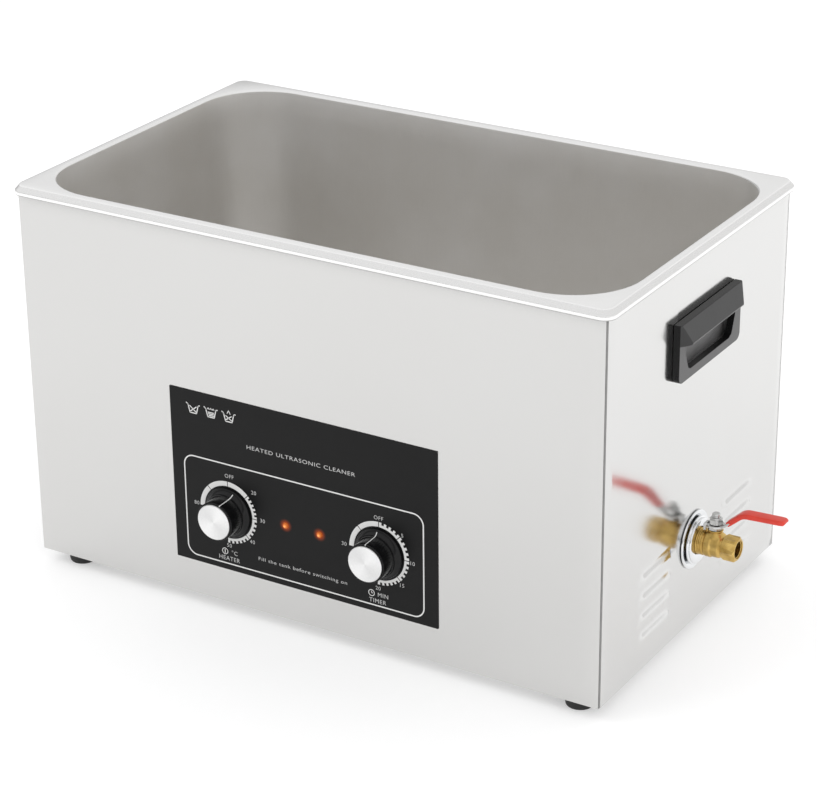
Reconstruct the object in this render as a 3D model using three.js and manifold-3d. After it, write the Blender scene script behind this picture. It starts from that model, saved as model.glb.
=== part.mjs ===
// A 30 litre bench ultrasonic cleaner: stainless cabinet, deep drawn tank, two dials and a side drain valve.
// Millimetres, +Z up, front towards -Y. Pieces are drawn from the middle of the cabinet's bottom edge, and the
// last lines move the whole object so that its origin is at the bottom centre of its box.

import * as THREE from 'three';
import { mergeVertices } from 'three/addons/utils/BufferGeometryUtils.js';
import Module from 'manifold-3d';

const wasm = await Module();
wasm.setup();

// Driving dimensions.
const GAP = 0.3; // clearance between pieces that touch
const SHEET = 1.2; // cabinet sheet thickness
const BODY = { w: 524, d: 313, h: 321.2, clip: 6 };
const FOOT = { x: 236, y: 137, height: 12, top: 13, bottom: 11, recess: 6, screw: 2.4 };
const BASE = { thick: 1.5, flange: 14 };
// Half widths, half depths and corner radii of the tank: inside its floor, inside its mouth, and of its rim.
const TANK = { floor: [250, 144, 50], mouth: [256.5, 150.3, 55.5], deep: 200, wall: 1.5, floorEdge: 8 };
const RIM = {
  top: 323, mouth: [258, 151.9, 57], flat: [263.5, 158, 7.5], lip: [267, 161.5, 8.5], slope: 4, fall: 8,
};
const OVERLAY = { x: 0.5, z: 105.2, w: 245.2, h: 150.4, thick: 0.5 };
const DIAL = { x: 70.2, z: 81.7, hole: 5, bushing: 4.5, shaft: 3, bore: 3.3 };
const KNOB = { back: 1.2, skirt: 21.2, neck: 16.3, face: 20.4, cap: 15, front: 22 };
const LAMP = { x: 15.8, z: 83.8, hole: 2.8, r: 2.5 };
const HANDLE = {
  y: 4.25, z: 248.3, length: 106.5, height: 48, pocket: [92, 42], sunk: 5.3, plate: 1.2, wall: 1.6,
};
const GRIP = { face: 5.9, brow: 6.9, lip: 255.5, lipReach: 12.5, lipHalf: 44.4, railTop: 231.5, roof: 268 };
const LOUVRE = { rows: 4, pitch: 17, first: 27, length: 55, rise: 9, reach: 4.2, centres: [-67.5, 78] };
const VALVE = { z: 74, stem: 18.5, reach: 38.5, ball: 8.4, bore: 5.5, wallHole: 11.2, stemTop: 27 };
const DRAIN = { x: 205, hole: 10, neck: 9.5, flange: 19, elbow: 20, elbowTop: 97.7 };
const TRANSDUCER = { rows: [-72, 72], columns: 5, pitch: 88, first: -190, face: 22.5, body: 19, length: 62 };
const FAN = { x: 140, z: 66, size: 80, depth: 25, bore: 38.2, rotor: 37, hub: 16, blades: 7 };
const INLET = { x: -165, z: 62, w: 52, h: 30, bodyW: 47, bodyH: 25, depth: 22 };
const SWITCH = { x: -115, z: 62, w: 22, h: 30, pivot: -3, tilt: THREE.MathUtils.degToRad(10) };

const FLOOR_TOP = RIM.top - TANK.deep;
const TANK_FLOOR = FLOOR_TOP - TANK.wall; // underside of the tank's floor
const INNER_W = BODY.w - 2 * SHEET;
const INNER_D = BODY.d - 2 * SHEET;

const steel = { color: 0xd8d6d2, roughness: 0.28, metalness: 1 };
const drawnSteel = { color: 0xa8a49b, roughness: 0.35, metalness: 1 };
const chrome = { color: 0xe4e6e8, roughness: 0.08, metalness: 1 };
const brass = { color: 0xc9a04a, roughness: 0.25, metalness: 1 };
const aluminium = { color: 0xdcdcdc, roughness: 0.3, metalness: 1 };
const blackGloss = { color: 0x121212, roughness: 0.2, metalness: 0 };
const blackMatte = { color: 0x2b2a2a, roughness: 0.6, metalness: 0 };
const blackFilm = { color: 0x262626, roughness: 0.45, metalness: 0 };
const rubber = { color: 0x161616, roughness: 0.85, metalness: 0 };
const redVinyl = { color: 0xe8433a, roughness: 0.4, metalness: 0 };
const lampRed = { color: 0xff7a3c, roughness: 0.25, metalness: 0 };
const silicone = { color: 0xb5502c, roughness: 0.7, metalness: 0 };
const board = { color: 0x1f5a35, roughness: 0.5, metalness: 0 };
const ferrite = { color: 0x3c3b3d, roughness: 0.7, metalness: 0 };

// ---- shapes, solids and placing -----------------------------------------------------------------------------

// A rectangle with rounded corners, centred on (x, y).
function roundedRect(w, h, r, x = 0, y = 0, Kind = THREE.Shape) {
  const shape = new Kind();
  const [a, b] = [w / 2 - r, h / 2 - r];
  shape.moveTo(x + a + r, y - b);
  shape.lineTo(x + a + r, y + b);
  shape.absarc(x + a, y + b, r, 0, Math.PI / 2);
  shape.absarc(x - a, y + b, r, Math.PI / 2, Math.PI);
  shape.absarc(x - a, y - b, r, Math.PI, Math.PI * 1.5);
  shape.absarc(x + a, y - b, r, Math.PI * 1.5, Math.PI * 2);
  return shape;
}

function rect(w, h, x = 0, y = 0, Kind = THREE.Shape) {
  const [a, b] = [w / 2, h / 2];
  const corners = [[x - a, y - b], [x + a, y - b], [x + a, y + b], [x - a, y + b]];
  return new Kind(corners.map((corner) => new THREE.Vector2(...corner)));
}

function circle(r, x = 0, y = 0, Kind = THREE.Shape) {
  return new Kind().absarc(x, y, r, 0, Math.PI * 2);
}

function polygon(points) {
  return new THREE.Shape(points.map(([x, y]) => new THREE.Vector2(x, y)));
}

// A sheet standing on y = 0, with its upper corners clipped to clear the rim's round corners.
function sheetOutline(w) {
  const [a, h, clip] = [w / 2, BODY.h, BODY.clip];
  return polygon([[-a, 0], [a, 0], [a, h - clip], [a - clip, h], [clip - a, h], [-a, h - clip]]);
}

function withHoles(shape, holes) {
  shape.holes.push(...holes);
  return shape;
}

// An outline in plan, raised from z = low to z = high.
function plate(shape, low, high, curveSegments = 5) {
  const geometry = new THREE.ExtrudeGeometry(shape, { depth: high - low, bevelEnabled: false, curveSegments });
  return geometry.translate(0, 0, low);
}

// An outline in x and z, raised from y = low to y = high.
function frontal(shape, low, high, curveSegments = 5) {
  return plate(shape, -high, -low, curveSegments).rotateX(Math.PI / 2);
}

// An outline in y and z, raised from x = low to x = high.
function sideways(shape, low, high, curveSegments = 5) {
  const toSide = new THREE.Matrix4().makeBasis(
    new THREE.Vector3(0, 1, 0),
    new THREE.Vector3(0, 0, 1),
    new THREE.Vector3(1, 0, 0),
  );
  return plate(shape, low, high, curveSegments).applyMatrix4(toSide);
}

// A slab whose top and bottom edges both come in by `run` over a height of `rise`, in `steps` facets.
function eased(shape, low, high, run, rise, steps) {
  const geometry = new THREE.ExtrudeGeometry(shape, {
    depth: high - low - 2 * rise,
    bevelThickness: rise,
    bevelSize: run,
    bevelOffset: -run,
    bevelSegments: steps,
    curveSegments: 5,
  });
  return geometry.translate(0, 0, low + rise);
}

function box(w, d, h, x, y, z) {
  return new THREE.BoxGeometry(w, d, h).translate(x, y, z);
}

// A box given by its lowest and highest corners.
function boxBetween(low, high) {
  const size = low.map((v, i) => high[i] - v);
  const middle = low.map((v, i) => (v + high[i]) / 2);
  return box(...size, ...middle);
}

// A solid turned about z from a profile of [radius, height] points.
function turned(profile, segments = 16) {
  const points = profile.map(([r, h]) => new THREE.Vector2(r, h));
  return new THREE.LatheGeometry(points, segments).rotateX(Math.PI / 2);
}

// A washer or sleeve about z.
function ring(inner, outer, low, high, segments = 16) {
  return turned([[inner, low], [outer, low], [outer, high], [inner, high], [inner, low]], segments);
}

function rod(r, low, high, sides = 12) {
  const upright = new THREE.CylinderGeometry(r, r, high - low, sides).rotateX(Math.PI / 2);
  return upright.translate(0, 0, (low + high) / 2);
}

// A closed body through rounded rectangles of [half width, half depth, corner radius, height]. It is capped by
// its first one, facing down, and its last one, facing up.
function stacked(rings, steps = 5) {
  const corners = [[1, 1], [-1, 1], [-1, -1], [1, -1]];
  const outlines = rings.map(([w, d, r, z]) => corners.flatMap(([i, j], quarter) => {
    return Array.from({ length: steps + 1 }, (_, step) => {
      const angle = (quarter + step / steps) * (Math.PI / 2);
      return [i * (w - r) + r * Math.cos(angle), j * (d - r) + r * Math.sin(angle), z];
    });
  }));
  const around = outlines[0].length;
  const last = outlines.length - 1;
  const [lowMiddle, highMiddle] = [around * outlines.length, around * outlines.length + 1];
  const faces = [];
  for (let j = 0; j < around; j += 1) {
    const next = (j + 1) % around;
    faces.push(lowMiddle, next, j, highMiddle, last * around + j, last * around + next);
    for (let i = 0; i < last; i += 1) {
      const [a, b, c, d] = [i * around + j, i * around + next, (i + 1) * around + next, (i + 1) * around + j];
      faces.push(a, b, c, a, c, d);
    }
  }
  const points = [...outlines.flat(), [0, 0, rings[0][3]], [0, 0, rings[last][3]]];
  const geometry = new THREE.BufferGeometry();
  geometry.setAttribute('position', new THREE.Float32BufferAttribute(points.flat(), 3));
  geometry.setIndex(faces);
  return geometry;
}

const alongX = (geometry) => geometry.rotateY(Math.PI / 2);
const alongY = (geometry) => geometry.rotateX(-Math.PI / 2);
const hexRadius = (acrossFlats) => acrossFlats / Math.sqrt(3);

function solid(geometry) {
  const bare = geometry.clone();
  bare.deleteAttribute('normal');
  bare.deleteAttribute('uv');
  const merged = mergeVertices(bare, 1e-4);
  const triVerts = new Uint32Array(merged.index.array);
  const vertProperties = merged.attributes.position.array;
  return new wasm.Manifold(new wasm.Mesh({ numProp: 3, vertProperties, triVerts }));
}

function geometryOf(body) {
  const { vertProperties, triVerts } = body.getMesh();
  const geometry = new THREE.BufferGeometry();
  geometry.setAttribute('position', new THREE.BufferAttribute(vertProperties, 3));
  geometry.setIndex(new THREE.BufferAttribute(triVerts, 1));
  return geometry;
}

const join = (first, ...rest) => geometryOf(rest.reduce((sum, g) => sum.add(solid(g)), solid(first)));
const cut = (first, ...tools) => geometryOf(tools.reduce((left, g) => left.subtract(solid(g)), solid(first)));
const common = (first, second) => geometryOf(solid(first).intersect(solid(second)));

function piece(name, geometry, material, parent, position = [0, 0, 0]) {
  const mesh = new THREE.Mesh(geometry, new THREE.MeshStandardMaterial(material));
  mesh.name = name;
  mesh.position.set(...position);
  parent.add(mesh);
  return mesh;
}

function group(parent, position, rotation = [0, 0, 0]) {
  const made = new THREE.Group();
  made.position.set(...position);
  made.rotation.set(...rotation);
  parent.add(made);
  return made;
}

const cleaner = new THREE.Group();

// ---- cabinet sheets, base and feet --------------------------------------------------------------------------

const dialPlaces = [-1, 1].map((side) => OVERLAY.x + side * DIAL.x);
const lampPlaces = [-1, 1].map((side) => OVERLAY.x + side * LAMP.x);

function controlHoles() {
  const shafts = dialPlaces.map((x) => circle(DIAL.hole, x, DIAL.z, THREE.Path));
  const lamps = lampPlaces.map((x) => circle(LAMP.hole, x, LAMP.z, THREE.Path));
  return [...shafts, ...lamps];
}

function makeFrontPanel() {
  const outline = withHoles(sheetOutline(BODY.w), controlHoles());
  piece('front_panel', frontal(outline, -BODY.d / 2, -BODY.d / 2 + SHEET, 4), steel, cleaner);
}

// The rear sheet has the fan's slots and cut-outs for the mains inlet and the switch.
function makeRearPanel() {
  const slotPitch = 9;
  const slotHeight = 3.6;
  const slots = [-4, -3, -2, -1, 0, 1, 2, 3, 4].map((row) => {
    const half = Math.sqrt(FAN.rotor ** 2 - (row * slotPitch) ** 2);
    return box(2 * half, 4 * SHEET, slotHeight, FAN.x, BODY.d / 2, FAN.z + row * slotPitch);
  });
  const [switchW, switchH] = [SWITCH.w - 3 + 2 * GAP, SWITCH.h - 3 + 2 * GAP];
  const sheet = frontal(sheetOutline(BODY.w), BODY.d / 2 - SHEET, BODY.d / 2);
  const openings = [
    ...slots,
    box(INLET.bodyW + 2 * GAP, 4 * SHEET, INLET.bodyH + 2 * GAP, INLET.x, BODY.d / 2, INLET.z),
    box(switchW, 4 * SHEET, switchH, SWITCH.x, BODY.d / 2, SWITCH.z),
  ];
  piece('rear_panel', cut(sheet, ...openings), steel, cleaner);
}

// One pressed louvre: a hood that leans out downwards, and the slot that it covers. x = 0 is the sheet's face.
function louvreHood(y, z) {
  const { reach, rise } = LOUVRE;
  const half = LOUVRE.length / 2;
  const profile = polygon([[-SHEET / 2, 0], [reach, 0], [reach, 1.4], [0, rise], [-SHEET / 2, rise]]);
  const plan = polygon([
    [-SHEET, -half], [0, -half], [reach, 3 - half], [reach, half - 3], [0, half], [-SHEET, half],
  ]);
  return common(frontal(profile, -half, half), plate(plan, 0, LOUVRE.rise)).translate(0, y, z);
}

function louvreSlot(y, z) {
  const reach = LOUVRE.reach - 1.1;
  const roof = LOUVRE.rise - 1.8;
  const profile = polygon([[-3, 0], [0, 0], [0, -1], [reach, -1], [reach, 1], [0.2, roof], [-3, roof]]);
  const half = LOUVRE.length / 2 - 3.4;
  return frontal(profile, -half, half).translate(0, y, z);
}

// A side sheet, seen in its own frame with x outwards. side is 1 on the right and -1 on the left.
function makeSidePanel(name, side, holes) {
  const place = group(cleaner, [side * BODY.w / 2, 0, 0], [0, 0, side > 0 ? 0 : Math.PI]);
  const pocket = HANDLE.pocket.map((length) => length + 2 * GAP);
  const handleHole = roundedRect(...pocket, 5, side * HANDLE.y, HANDLE.z, THREE.Path);
  const outline = withHoles(sheetOutline(INNER_D - 2 * GAP), [handleHole, ...holes]);
  const rows = Array.from({ length: LOUVRE.rows }, (_, row) => LOUVRE.first + row * LOUVRE.pitch);
  const spots = LOUVRE.centres.flatMap((y) => rows.map((z) => [side * y, z]));
  const pressed = join(sideways(outline, -SHEET, 0, 4), ...spots.map((spot) => louvreHood(...spot)));
  piece(name, cut(pressed, ...spots.map((spot) => louvreSlot(...spot))), steel, place);
}

function makeBase() {
  const [w, d] = [INNER_W - 2 * GAP, INNER_D - 2 * GAP];
  const vents = [-3, -2, -1, 0, 1, 2, 3].map((i) => box(5, 60, 4 * BASE.thick, 20 + i * 16, 0, 0));
  const corners = [[-1, -1], [1, -1], [-1, 1], [1, 1]];
  const screws = corners.map(([i, j]) => circle(FOOT.screw, i * FOOT.x, j * FOOT.y, THREE.Path));
  const floor = plate(withHoles(rect(w, d), screws), 0, BASE.thick, 3);
  const inside = rect(w - 2 * SHEET, d - 2 * SHEET, 0, 0, THREE.Path);
  const flange = plate(withHoles(rect(w, d), [inside]), 0, BASE.flange);
  piece('base_plate', cut(join(floor, flange), ...vents), drawnSteel, cleaner);
}

function makeFeet() {
  const [low, high] = [-FOOT.height, -GAP];
  const step = low + FOOT.height / 2;
  const profile = [
    [FOOT.screw, high], [FOOT.screw, step], [FOOT.recess, step], [FOOT.recess, low],
    [FOOT.bottom - 1, low], [FOOT.bottom, low + 1], [FOOT.top, high], [FOOT.screw, high],
  ];
  const ends = { front: -1, rear: 1 };
  const sides = { left: -1, right: 1 };
  for (const [end, j] of Object.entries(ends)) {
    for (const [side, i] of Object.entries(sides)) {
      piece(`foot_${end}_${side}`, turned(profile, 16), rubber, cleaner, [i * FOOT.x, j * FOOT.y, 0]);
    }
  }
}

// ---- tank ---------------------------------------------------------------------------------------------------

// The drawn basin widens upwards and hangs from a flat rim, which rests on the cabinet's top edges and folds
// down over them: first a slope, then an upright lip.
function makeTank() {
  const { top, mouth, flat, lip, slope, fall } = RIM;
  const rise = top - 1.5;
  const grown = (sizes, by) => sizes.map((size) => size + by);
  const quarter = [0, 1, 2, 3].map((step) => (step * Math.PI) / 6);
  const floorCurve = (sizes, edge, low) => quarter.map((angle) => {
    return [...grown(sizes, -edge * (1 - Math.sin(angle))), low + edge * (1 - Math.cos(angle))];
  });
  const hem = 1.2;
  const outside = [
    ...floorCurve(grown(TANK.floor, TANK.wall), TANK.floorEdge + TANK.wall, TANK_FLOOR),
    [...grown(TANK.mouth, TANK.wall), rise],
    [...grown(flat, -hem), rise],
    [...grown(lip, -hem), top - slope - 0.7],
    [...grown(lip, -hem), top - fall],
    [...lip, top - fall],
    [...lip, top - slope - 0.5],
    [...grown(lip, -0.5), top - slope],
    [...grown(flat, 0.5), top - 0.7],
    [...grown(flat, -0.2), top],
  ];
  const inside = [
    [...mouth, top],
    [...grown(mouth, -1), top - 0.6],
    [...TANK.mouth, top - 2.5],
    ...floorCurve(TANK.floor, TANK.floorEdge, FLOOR_TOP).reverse(),
  ];
  const drainHole = rod(DRAIN.hole, TANK_FLOOR - 1, FLOOR_TOP + 1, 20).translate(DRAIN.x, 0, 0);
  piece('tank', cut(stacked([...outside, ...inside]), drainHole), drawnSteel, cleaner);
}

// ---- control panel ------------------------------------------------------------------------------------------

function makeOverlay() {
  const outline = withHoles(rect(OVERLAY.w, OVERLAY.h, OVERLAY.x, OVERLAY.z), controlHoles());
  const back = -BODY.d / 2 - GAP;
  piece('control_overlay', frontal(outline, back - OVERLAY.thick, back, 4), blackFilm, cleaner);
}

// A knob, its cap, its shaft and the control behind the sheet. z runs out of the panel, which is at z = 0.
function makeDial(name, controlName, x, controlSize, controlDepth) {
  const place = group(cleaner, [x, -BODY.d / 2, DIAL.z], [Math.PI / 2, 0, 0]);
  const shaftEnd = 15.7;
  const { back, skirt, neck, face, cap, front } = KNOB;
  const capSeat = face - 1;
  const knob = [
    [0, shaftEnd + GAP], [DIAL.bore, shaftEnd + GAP], [DIAL.bore, back], [skirt - 0.4, back],
    [skirt, back + 0.4], [skirt, back + 1.4], [skirt - 1.2, back + 2.4], [skirt - 3.4, back + 4],
    [neck + 1, back + 7], [neck + 0.3, 12], [neck, face - 0.7], [neck - 0.7, face], [cap + GAP, face],
    [cap + GAP, capSeat], [0, capSeat],
  ];
  const disc = [[0, capSeat + GAP], [cap, capSeat + GAP], [cap, front - 0.7], [cap - 0.7, front], [0, front]];
  piece(`${name}_knob`, turned(knob, 24), blackGloss, place);
  piece(`${name}_knob_cap`, turned(disc, 24), aluminium, place);

  const innerFace = -SHEET - GAP;
  const shaftStart = -16;
  const casing = plate(roundedRect(...controlSize, 3), innerFace - controlDepth, innerFace, 2);
  const bushing = rod(DIAL.bushing, innerFace - 2, back - GAP, 16);
  const socket = rod(DIAL.bore, shaftStart - GAP, back + 1, 12);
  piece(`${controlName}_body`, cut(join(casing, bushing), socket), blackMatte, place);

  const flat = boxBetween([-4, DIAL.shaft - 1, 4], [4, 4, shaftEnd + 1]);
  piece(`${controlName}_shaft`, cut(rod(DIAL.shaft, shaftStart, shaftEnd, 12), flat), aluminium, place);
}

function makeLamps() {
  const profile = [[0, -8], [LAMP.r, -8], [LAMP.r, 0.9], [LAMP.r * 0.8, 1.9], [LAMP.r * 0.45, 2.4], [0, 2.6]];
  ['heater_lamp', 'timer_lamp'].forEach((name, i) => {
    const place = group(cleaner, [lampPlaces[i], -BODY.d / 2, LAMP.z], [Math.PI / 2, 0, 0]);
    piece(name, turned(profile, 12), lampRed, place);
  });
}

// ---- handles ------------------------------------------------------------------------------------------------

// A hooded grip on the side sheet, and a cup behind it whose walls pass through the sheet's hole. The cup's
// flange lies behind the sheet. x runs outwards from the sheet, y and z from the handle's middle.
function makeHandle(prefix, side) {
  const place = group(cleaner, [side * BODY.w / 2, HANDLE.y, HANDLE.z], [0, 0, side > 0 ? 0 : Math.PI]);
  const { length, height, sunk, wall } = HANDLE;
  const [pocketW, pocketH] = HANDLE.pocket;
  const flangeFace = -SHEET - GAP;
  const flange = sideways(roundedRect(length, height, 6), flangeFace - HANDLE.plate, flangeFace);
  const tray = sideways(roundedRect(pocketW, pocketH, 5), -sunk, 0);
  const hollow = sideways(roundedRect(pocketW - 2 * wall, pocketH - 2 * wall, 3.5), HANDLE.plate - sunk, 1);
  piece(`${prefix}_handle_cup`, cut(join(flange, tray), hollow), blackMatte, place);

  const { face, brow, lipReach, lipHalf } = GRIP;
  const [half, top] = [length / 2, height / 2];
  const [lip, railTop, roof] = [GRIP.lip, GRIP.railTop, GRIP.roof].map((z) => z - HANDLE.z);
  const frame = sideways(roundedRect(length, height, 6), GAP, face);
  const hoodProfile = polygon([
    [GAP, top], [brow, top], [lipReach, lip + 1.6], [lipReach - 0.6, lip + 0.2], [lipReach - 2.2, lip],
    [GAP, lip],
  ]);
  const hoodPlan = polygon([
    [GAP, -half], [face, -half], [lipReach, -lipHalf], [lipReach, lipHalf], [face, half], [GAP, half],
  ]);
  const hood = common(frontal(hoodProfile, -half, half), plate(hoodPlan, lip, top));
  const opening = sideways(polygon([
    [-33.5, railTop], [33.5, railTop], [37.5, railTop + 2], [39.5, railTop + 6.5], [43, railTop + 16], [43, roof],
    [-43, roof], [-43, railTop + 16], [-39.5, railTop + 6.5], [-37.5, railTop + 2],
  ]), 0, 30);
  const fingerRoom = frontal(polygon([
    [0, railTop - 1], [30, railTop - 1], [30, lip - 0.1], [lipReach - 2.6, lip - 0.1], [face - 1.2, roof],
    [0, roof],
  ]), -half, half);
  piece(`${prefix}_handle_grip`, cut(join(frame, hood), common(opening, fingerRoom)), blackMatte, place);
}

// ---- drain --------------------------------------------------------------------------------------------------

function makeDrain() {
  const { x, neck, flange } = DRAIN;
  const bore = 7;
  const neckEnd = DRAIN.elbowTop + GAP;
  const outlet = [
    [bore, neckEnd], [neck, neckEnd], [neck, FLOOR_TOP + GAP], [flange, FLOOR_TOP + GAP],
    [flange - 1, FLOOR_TOP + 2], [bore + 1.5, FLOOR_TOP + 2], [bore, FLOOR_TOP + 0.8], [bore, neckEnd],
  ];
  piece('drain_outlet', turned(outlet, 20), chrome, cleaner, [x, 0, 0]);
  const gasketLow = TANK_FLOOR - GAP - 2.5;
  piece('drain_gasket', ring(DRAIN.hole, 17, gasketLow, TANK_FLOOR - GAP, 16), rubber, cleaner, [x, 0, 0]);
  const nut = rod(hexRadius(30), gasketLow - GAP - 7, gasketLow - GAP, 6);
  const nutBore = rod(neck + GAP, gasketLow - 12, gasketLow + 2, 16);
  piece('drain_nut', cut(nut, nutBore), brass, cleaner, [x, 0, 0]);

  const end = BODY.w / 2 - GAP / 2;
  const bend = DRAIN.elbow;
  const [inletEnd, bendStart, bendCorner, bendEnd, outletEnd] = [
    [x, DRAIN.elbowTop], [x, VALVE.z + bend], [x, VALVE.z], [x + bend, VALVE.z], [end, VALVE.z],
  ].map(([across, height]) => new THREE.Vector3(across, 0, height));
  const route = new THREE.CurvePath();
  route.add(new THREE.LineCurve3(inletEnd, bendStart));
  route.add(new THREE.QuadraticBezierCurve3(bendStart, bendCorner, bendEnd));
  route.add(new THREE.LineCurve3(bendEnd, outletEnd));
  const section = withHoles(circle(neck), [circle(6.5, 0, 0, THREE.Path)]);
  const tube = new THREE.ExtrudeGeometry(section, { extrudePath: route, steps: 12, curveSegments: 6 });
  piece('drain_elbow', tube, brass, cleaner);
}

// An outline of even thickness about a bent centre line of [x, z] points, mitred at its bends.
function ribbon(points, thickness) {
  const line = points.map(([x, z]) => new THREE.Vector2(x, z));
  const normals = line.slice(1).map((p, i) => {
    const along = p.clone().sub(line[i]).normalize();
    return new THREE.Vector2(-along.y, along.x);
  });
  const offsets = line.map((_, i) => {
    const before = normals[Math.max(i - 1, 0)];
    const after = normals[Math.min(i, normals.length - 1)];
    const mitre = before.clone().add(after).normalize();
    return mitre.multiplyScalar(thickness / 2 / mitre.dot(after));
  });
  const upper = line.map((p, i) => p.clone().add(offsets[i]));
  const lower = line.map((p, i) => p.clone().sub(offsets[i]));
  return new THREE.Shape([...lower, ...upper.reverse()]);
}

// The drain valve. x runs out of the cabinet's side from its face, z up from the valve's axis.
function makeValve() {
  const valve = group(cleaner, [BODY.w / 2, 0, VALVE.z]);
  const { stem, reach, bore, ball } = VALVE;
  const bossTop = 13.5;
  const stemR = 3.3;

  piece('wall_washer', alongX(ring(VALVE.wallHole, 24, GAP, 2.1, 28)), chrome, valve);
  piece('lock_nut', alongX(ring(VALVE.wallHole, 19.8, 2.1 + GAP, 6.4, 28)), chrome, valve);

  const barrel = turned([
    [0, GAP], [10.2, GAP], [10.8, 1], [10.8, 11.4], [9.9, 12.2], [10.4, 13], [10.4, 24.8], [8.2, 26],
    [8.2, 30], [0, 30],
  ], 20);
  const hexEnd = rod(hexRadius(17.8), 26, reach, 6);
  const boss = rod(6.2, 0, bossTop, 16).translate(stem, 0, 0);
  const brassBody = join(alongX(barrel), alongX(hexEnd), boss);
  const ways = [
    alongX(rod(bore, -1, reach + 1, 16)),
    alongX(rod(7.2, -1, 8, 16)),
    alongX(rod(7.2, 28, reach + 1, 16)),
    new THREE.SphereGeometry(ball + GAP, 16, 10).translate(stem, 0, 0),
    rod(stemR + GAP, 0, bossTop + 1, 12).translate(stem, 0, 0),
  ];
  piece('valve_body', cut(brassBody, ...ways), brass, valve);
  const gland = cut(rod(hexRadius(11), bossTop + GAP, bossTop + 2.1, 6), rod(stemR + GAP, 0, 20, 12));
  piece('packing_nut', gland, steel, valve, [stem, 0, 0]);

  // What turns with the lever, about the stem's axis.
  const turning = group(valve, [stem, 0, 0]);
  const slot = boxBetween([-3.8, -1.6, bore + 0.9], [3.8, 1.6, ball + 1]);
  const sphere = new THREE.SphereGeometry(ball, 16, 10);
  piece('valve_ball', cut(sphere, alongX(rod(bore, -ball - 1, ball + 1, 16)), slot), chrome, turning);
  const tongue = boxBetween([-3, -1.2, bore + 1.3], [3, 1.2, ball + 1.5]);
  piece('valve_stem', join(rod(stemR, ball + 0.6, VALVE.stemTop, 12), tongue), steel, turning);

  const strap = 2;
  const strapLow = bossTop + 2.1 + GAP;
  const mid = strapLow + strap / 2;
  const bend = [23.5, 32];
  const slope = (bend[1] - mid) / (bend[0] - 6.5);
  const leverLine = [[-7.5, mid], [6.5, mid], bend, [55.5, 33.5]];
  const strapBody = frontal(ribbon(leverLine, strap), -4, 4);
  const head = rod(7, strapLow, strapLow + strap, 16);
  const stopTab = boxBetween([-9.3, -3, 11.6], [-7.1, 3, strapLow + strap]);
  const stemHole = rod(stemR + GAP, strapLow - 1, strapLow + strap + 1, 12);
  const tipPlan = plate(roundedRect(65.5, 8, 3.8, 23.25, 0), 0, 50, 4);
  const headPlan = plate(circle(9.4), 0, 50, 5);
  const lever = common(join(strapBody, head, stopTab), join(tipPlan, headPlan));
  piece('valve_lever', cut(lever, stemHole), steel, turning);

  const sleeveStart = 10.5;
  const startPoint = [sleeveStart, mid + (sleeveStart - 6.5) * slope];
  const mouth = [sleeveStart - 2, startPoint[1] - 2 * slope];
  const outside = frontal(ribbon([startPoint, bend, [58.5, 33.65]], 4.4), -5.3, 5.3);
  const outsidePlan = plate(roundedRect(56, 10.6, 5, 30.5, 0), 0, 50, 5);
  const inside = frontal(ribbon([mouth, bend, [55.9, 33.52]], strap + 2 * GAP), -4.3, 4.3);
  piece('lever_sleeve', cut(common(outside, outsidePlan), inside), redVinyl, turning);

  const nutLow = strapLow + strap + GAP;
  const nut = cut(rod(hexRadius(10), nutLow, nutLow + 5.5, 6), rod(stemR + GAP, 0, 30, 12));
  piece('lever_nut', nut, steel, turning);
}

// ---- what works inside --------------------------------------------------------------------------------------

// Ten transducers hang from the tank's floor: an aluminium horn, a stack of ceramic rings and a steel back mass.
function makeTransducers() {
  const { face, body, length } = TRANSDUCER;
  const top = TANK_FLOOR - GAP;
  const low = top - length;
  const profile = [
    [0, low - 4], [5, low - 4], [5, low], [body, low], [body, low + 26], [body - 3, low + 26],
    [body - 3, low + 38], [body, low + 38], [body, low + 46], [face, top], [0, top],
  ];
  let number = 1;
  for (let column = 0; column < TRANSDUCER.columns; column += 1) {
    for (const y of TRANSDUCER.rows) {
      const place = [TRANSDUCER.first + column * TRANSDUCER.pitch, y, 0];
      piece(`transducer_${number}`, turned(profile, 12), aluminium, cleaner, place);
      number += 1;
    }
  }
}

// The heater pads lie on the tank's end walls and lean outwards with them.
function makeHeaterPads() {
  const thick = 1.8;
  const [length, height, middle] = [184, 90, 178];
  const lean = (TANK.mouth[0] - TANK.floor[0]) / (RIM.top - 2.5 - FLOOR_TOP - TANK.floorEdge);
  const wallFace = TANK.floor[0] + lean * (middle - FLOOR_TOP - TANK.floorEdge) + TANK.wall;
  for (const [name, side] of [['left', -1], ['right', 1]]) {
    const place = [side * (wallFace + GAP + thick / 2), 0, middle];
    const tilted = group(cleaner, place, [0, side * Math.atan(lean), 0]);
    const pad = sideways(roundedRect(length, height, 8), -thick / 2, thick / 2, 3);
    piece(`heater_pad_${name}`, pad, silicone, tilted);
  }
}

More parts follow.
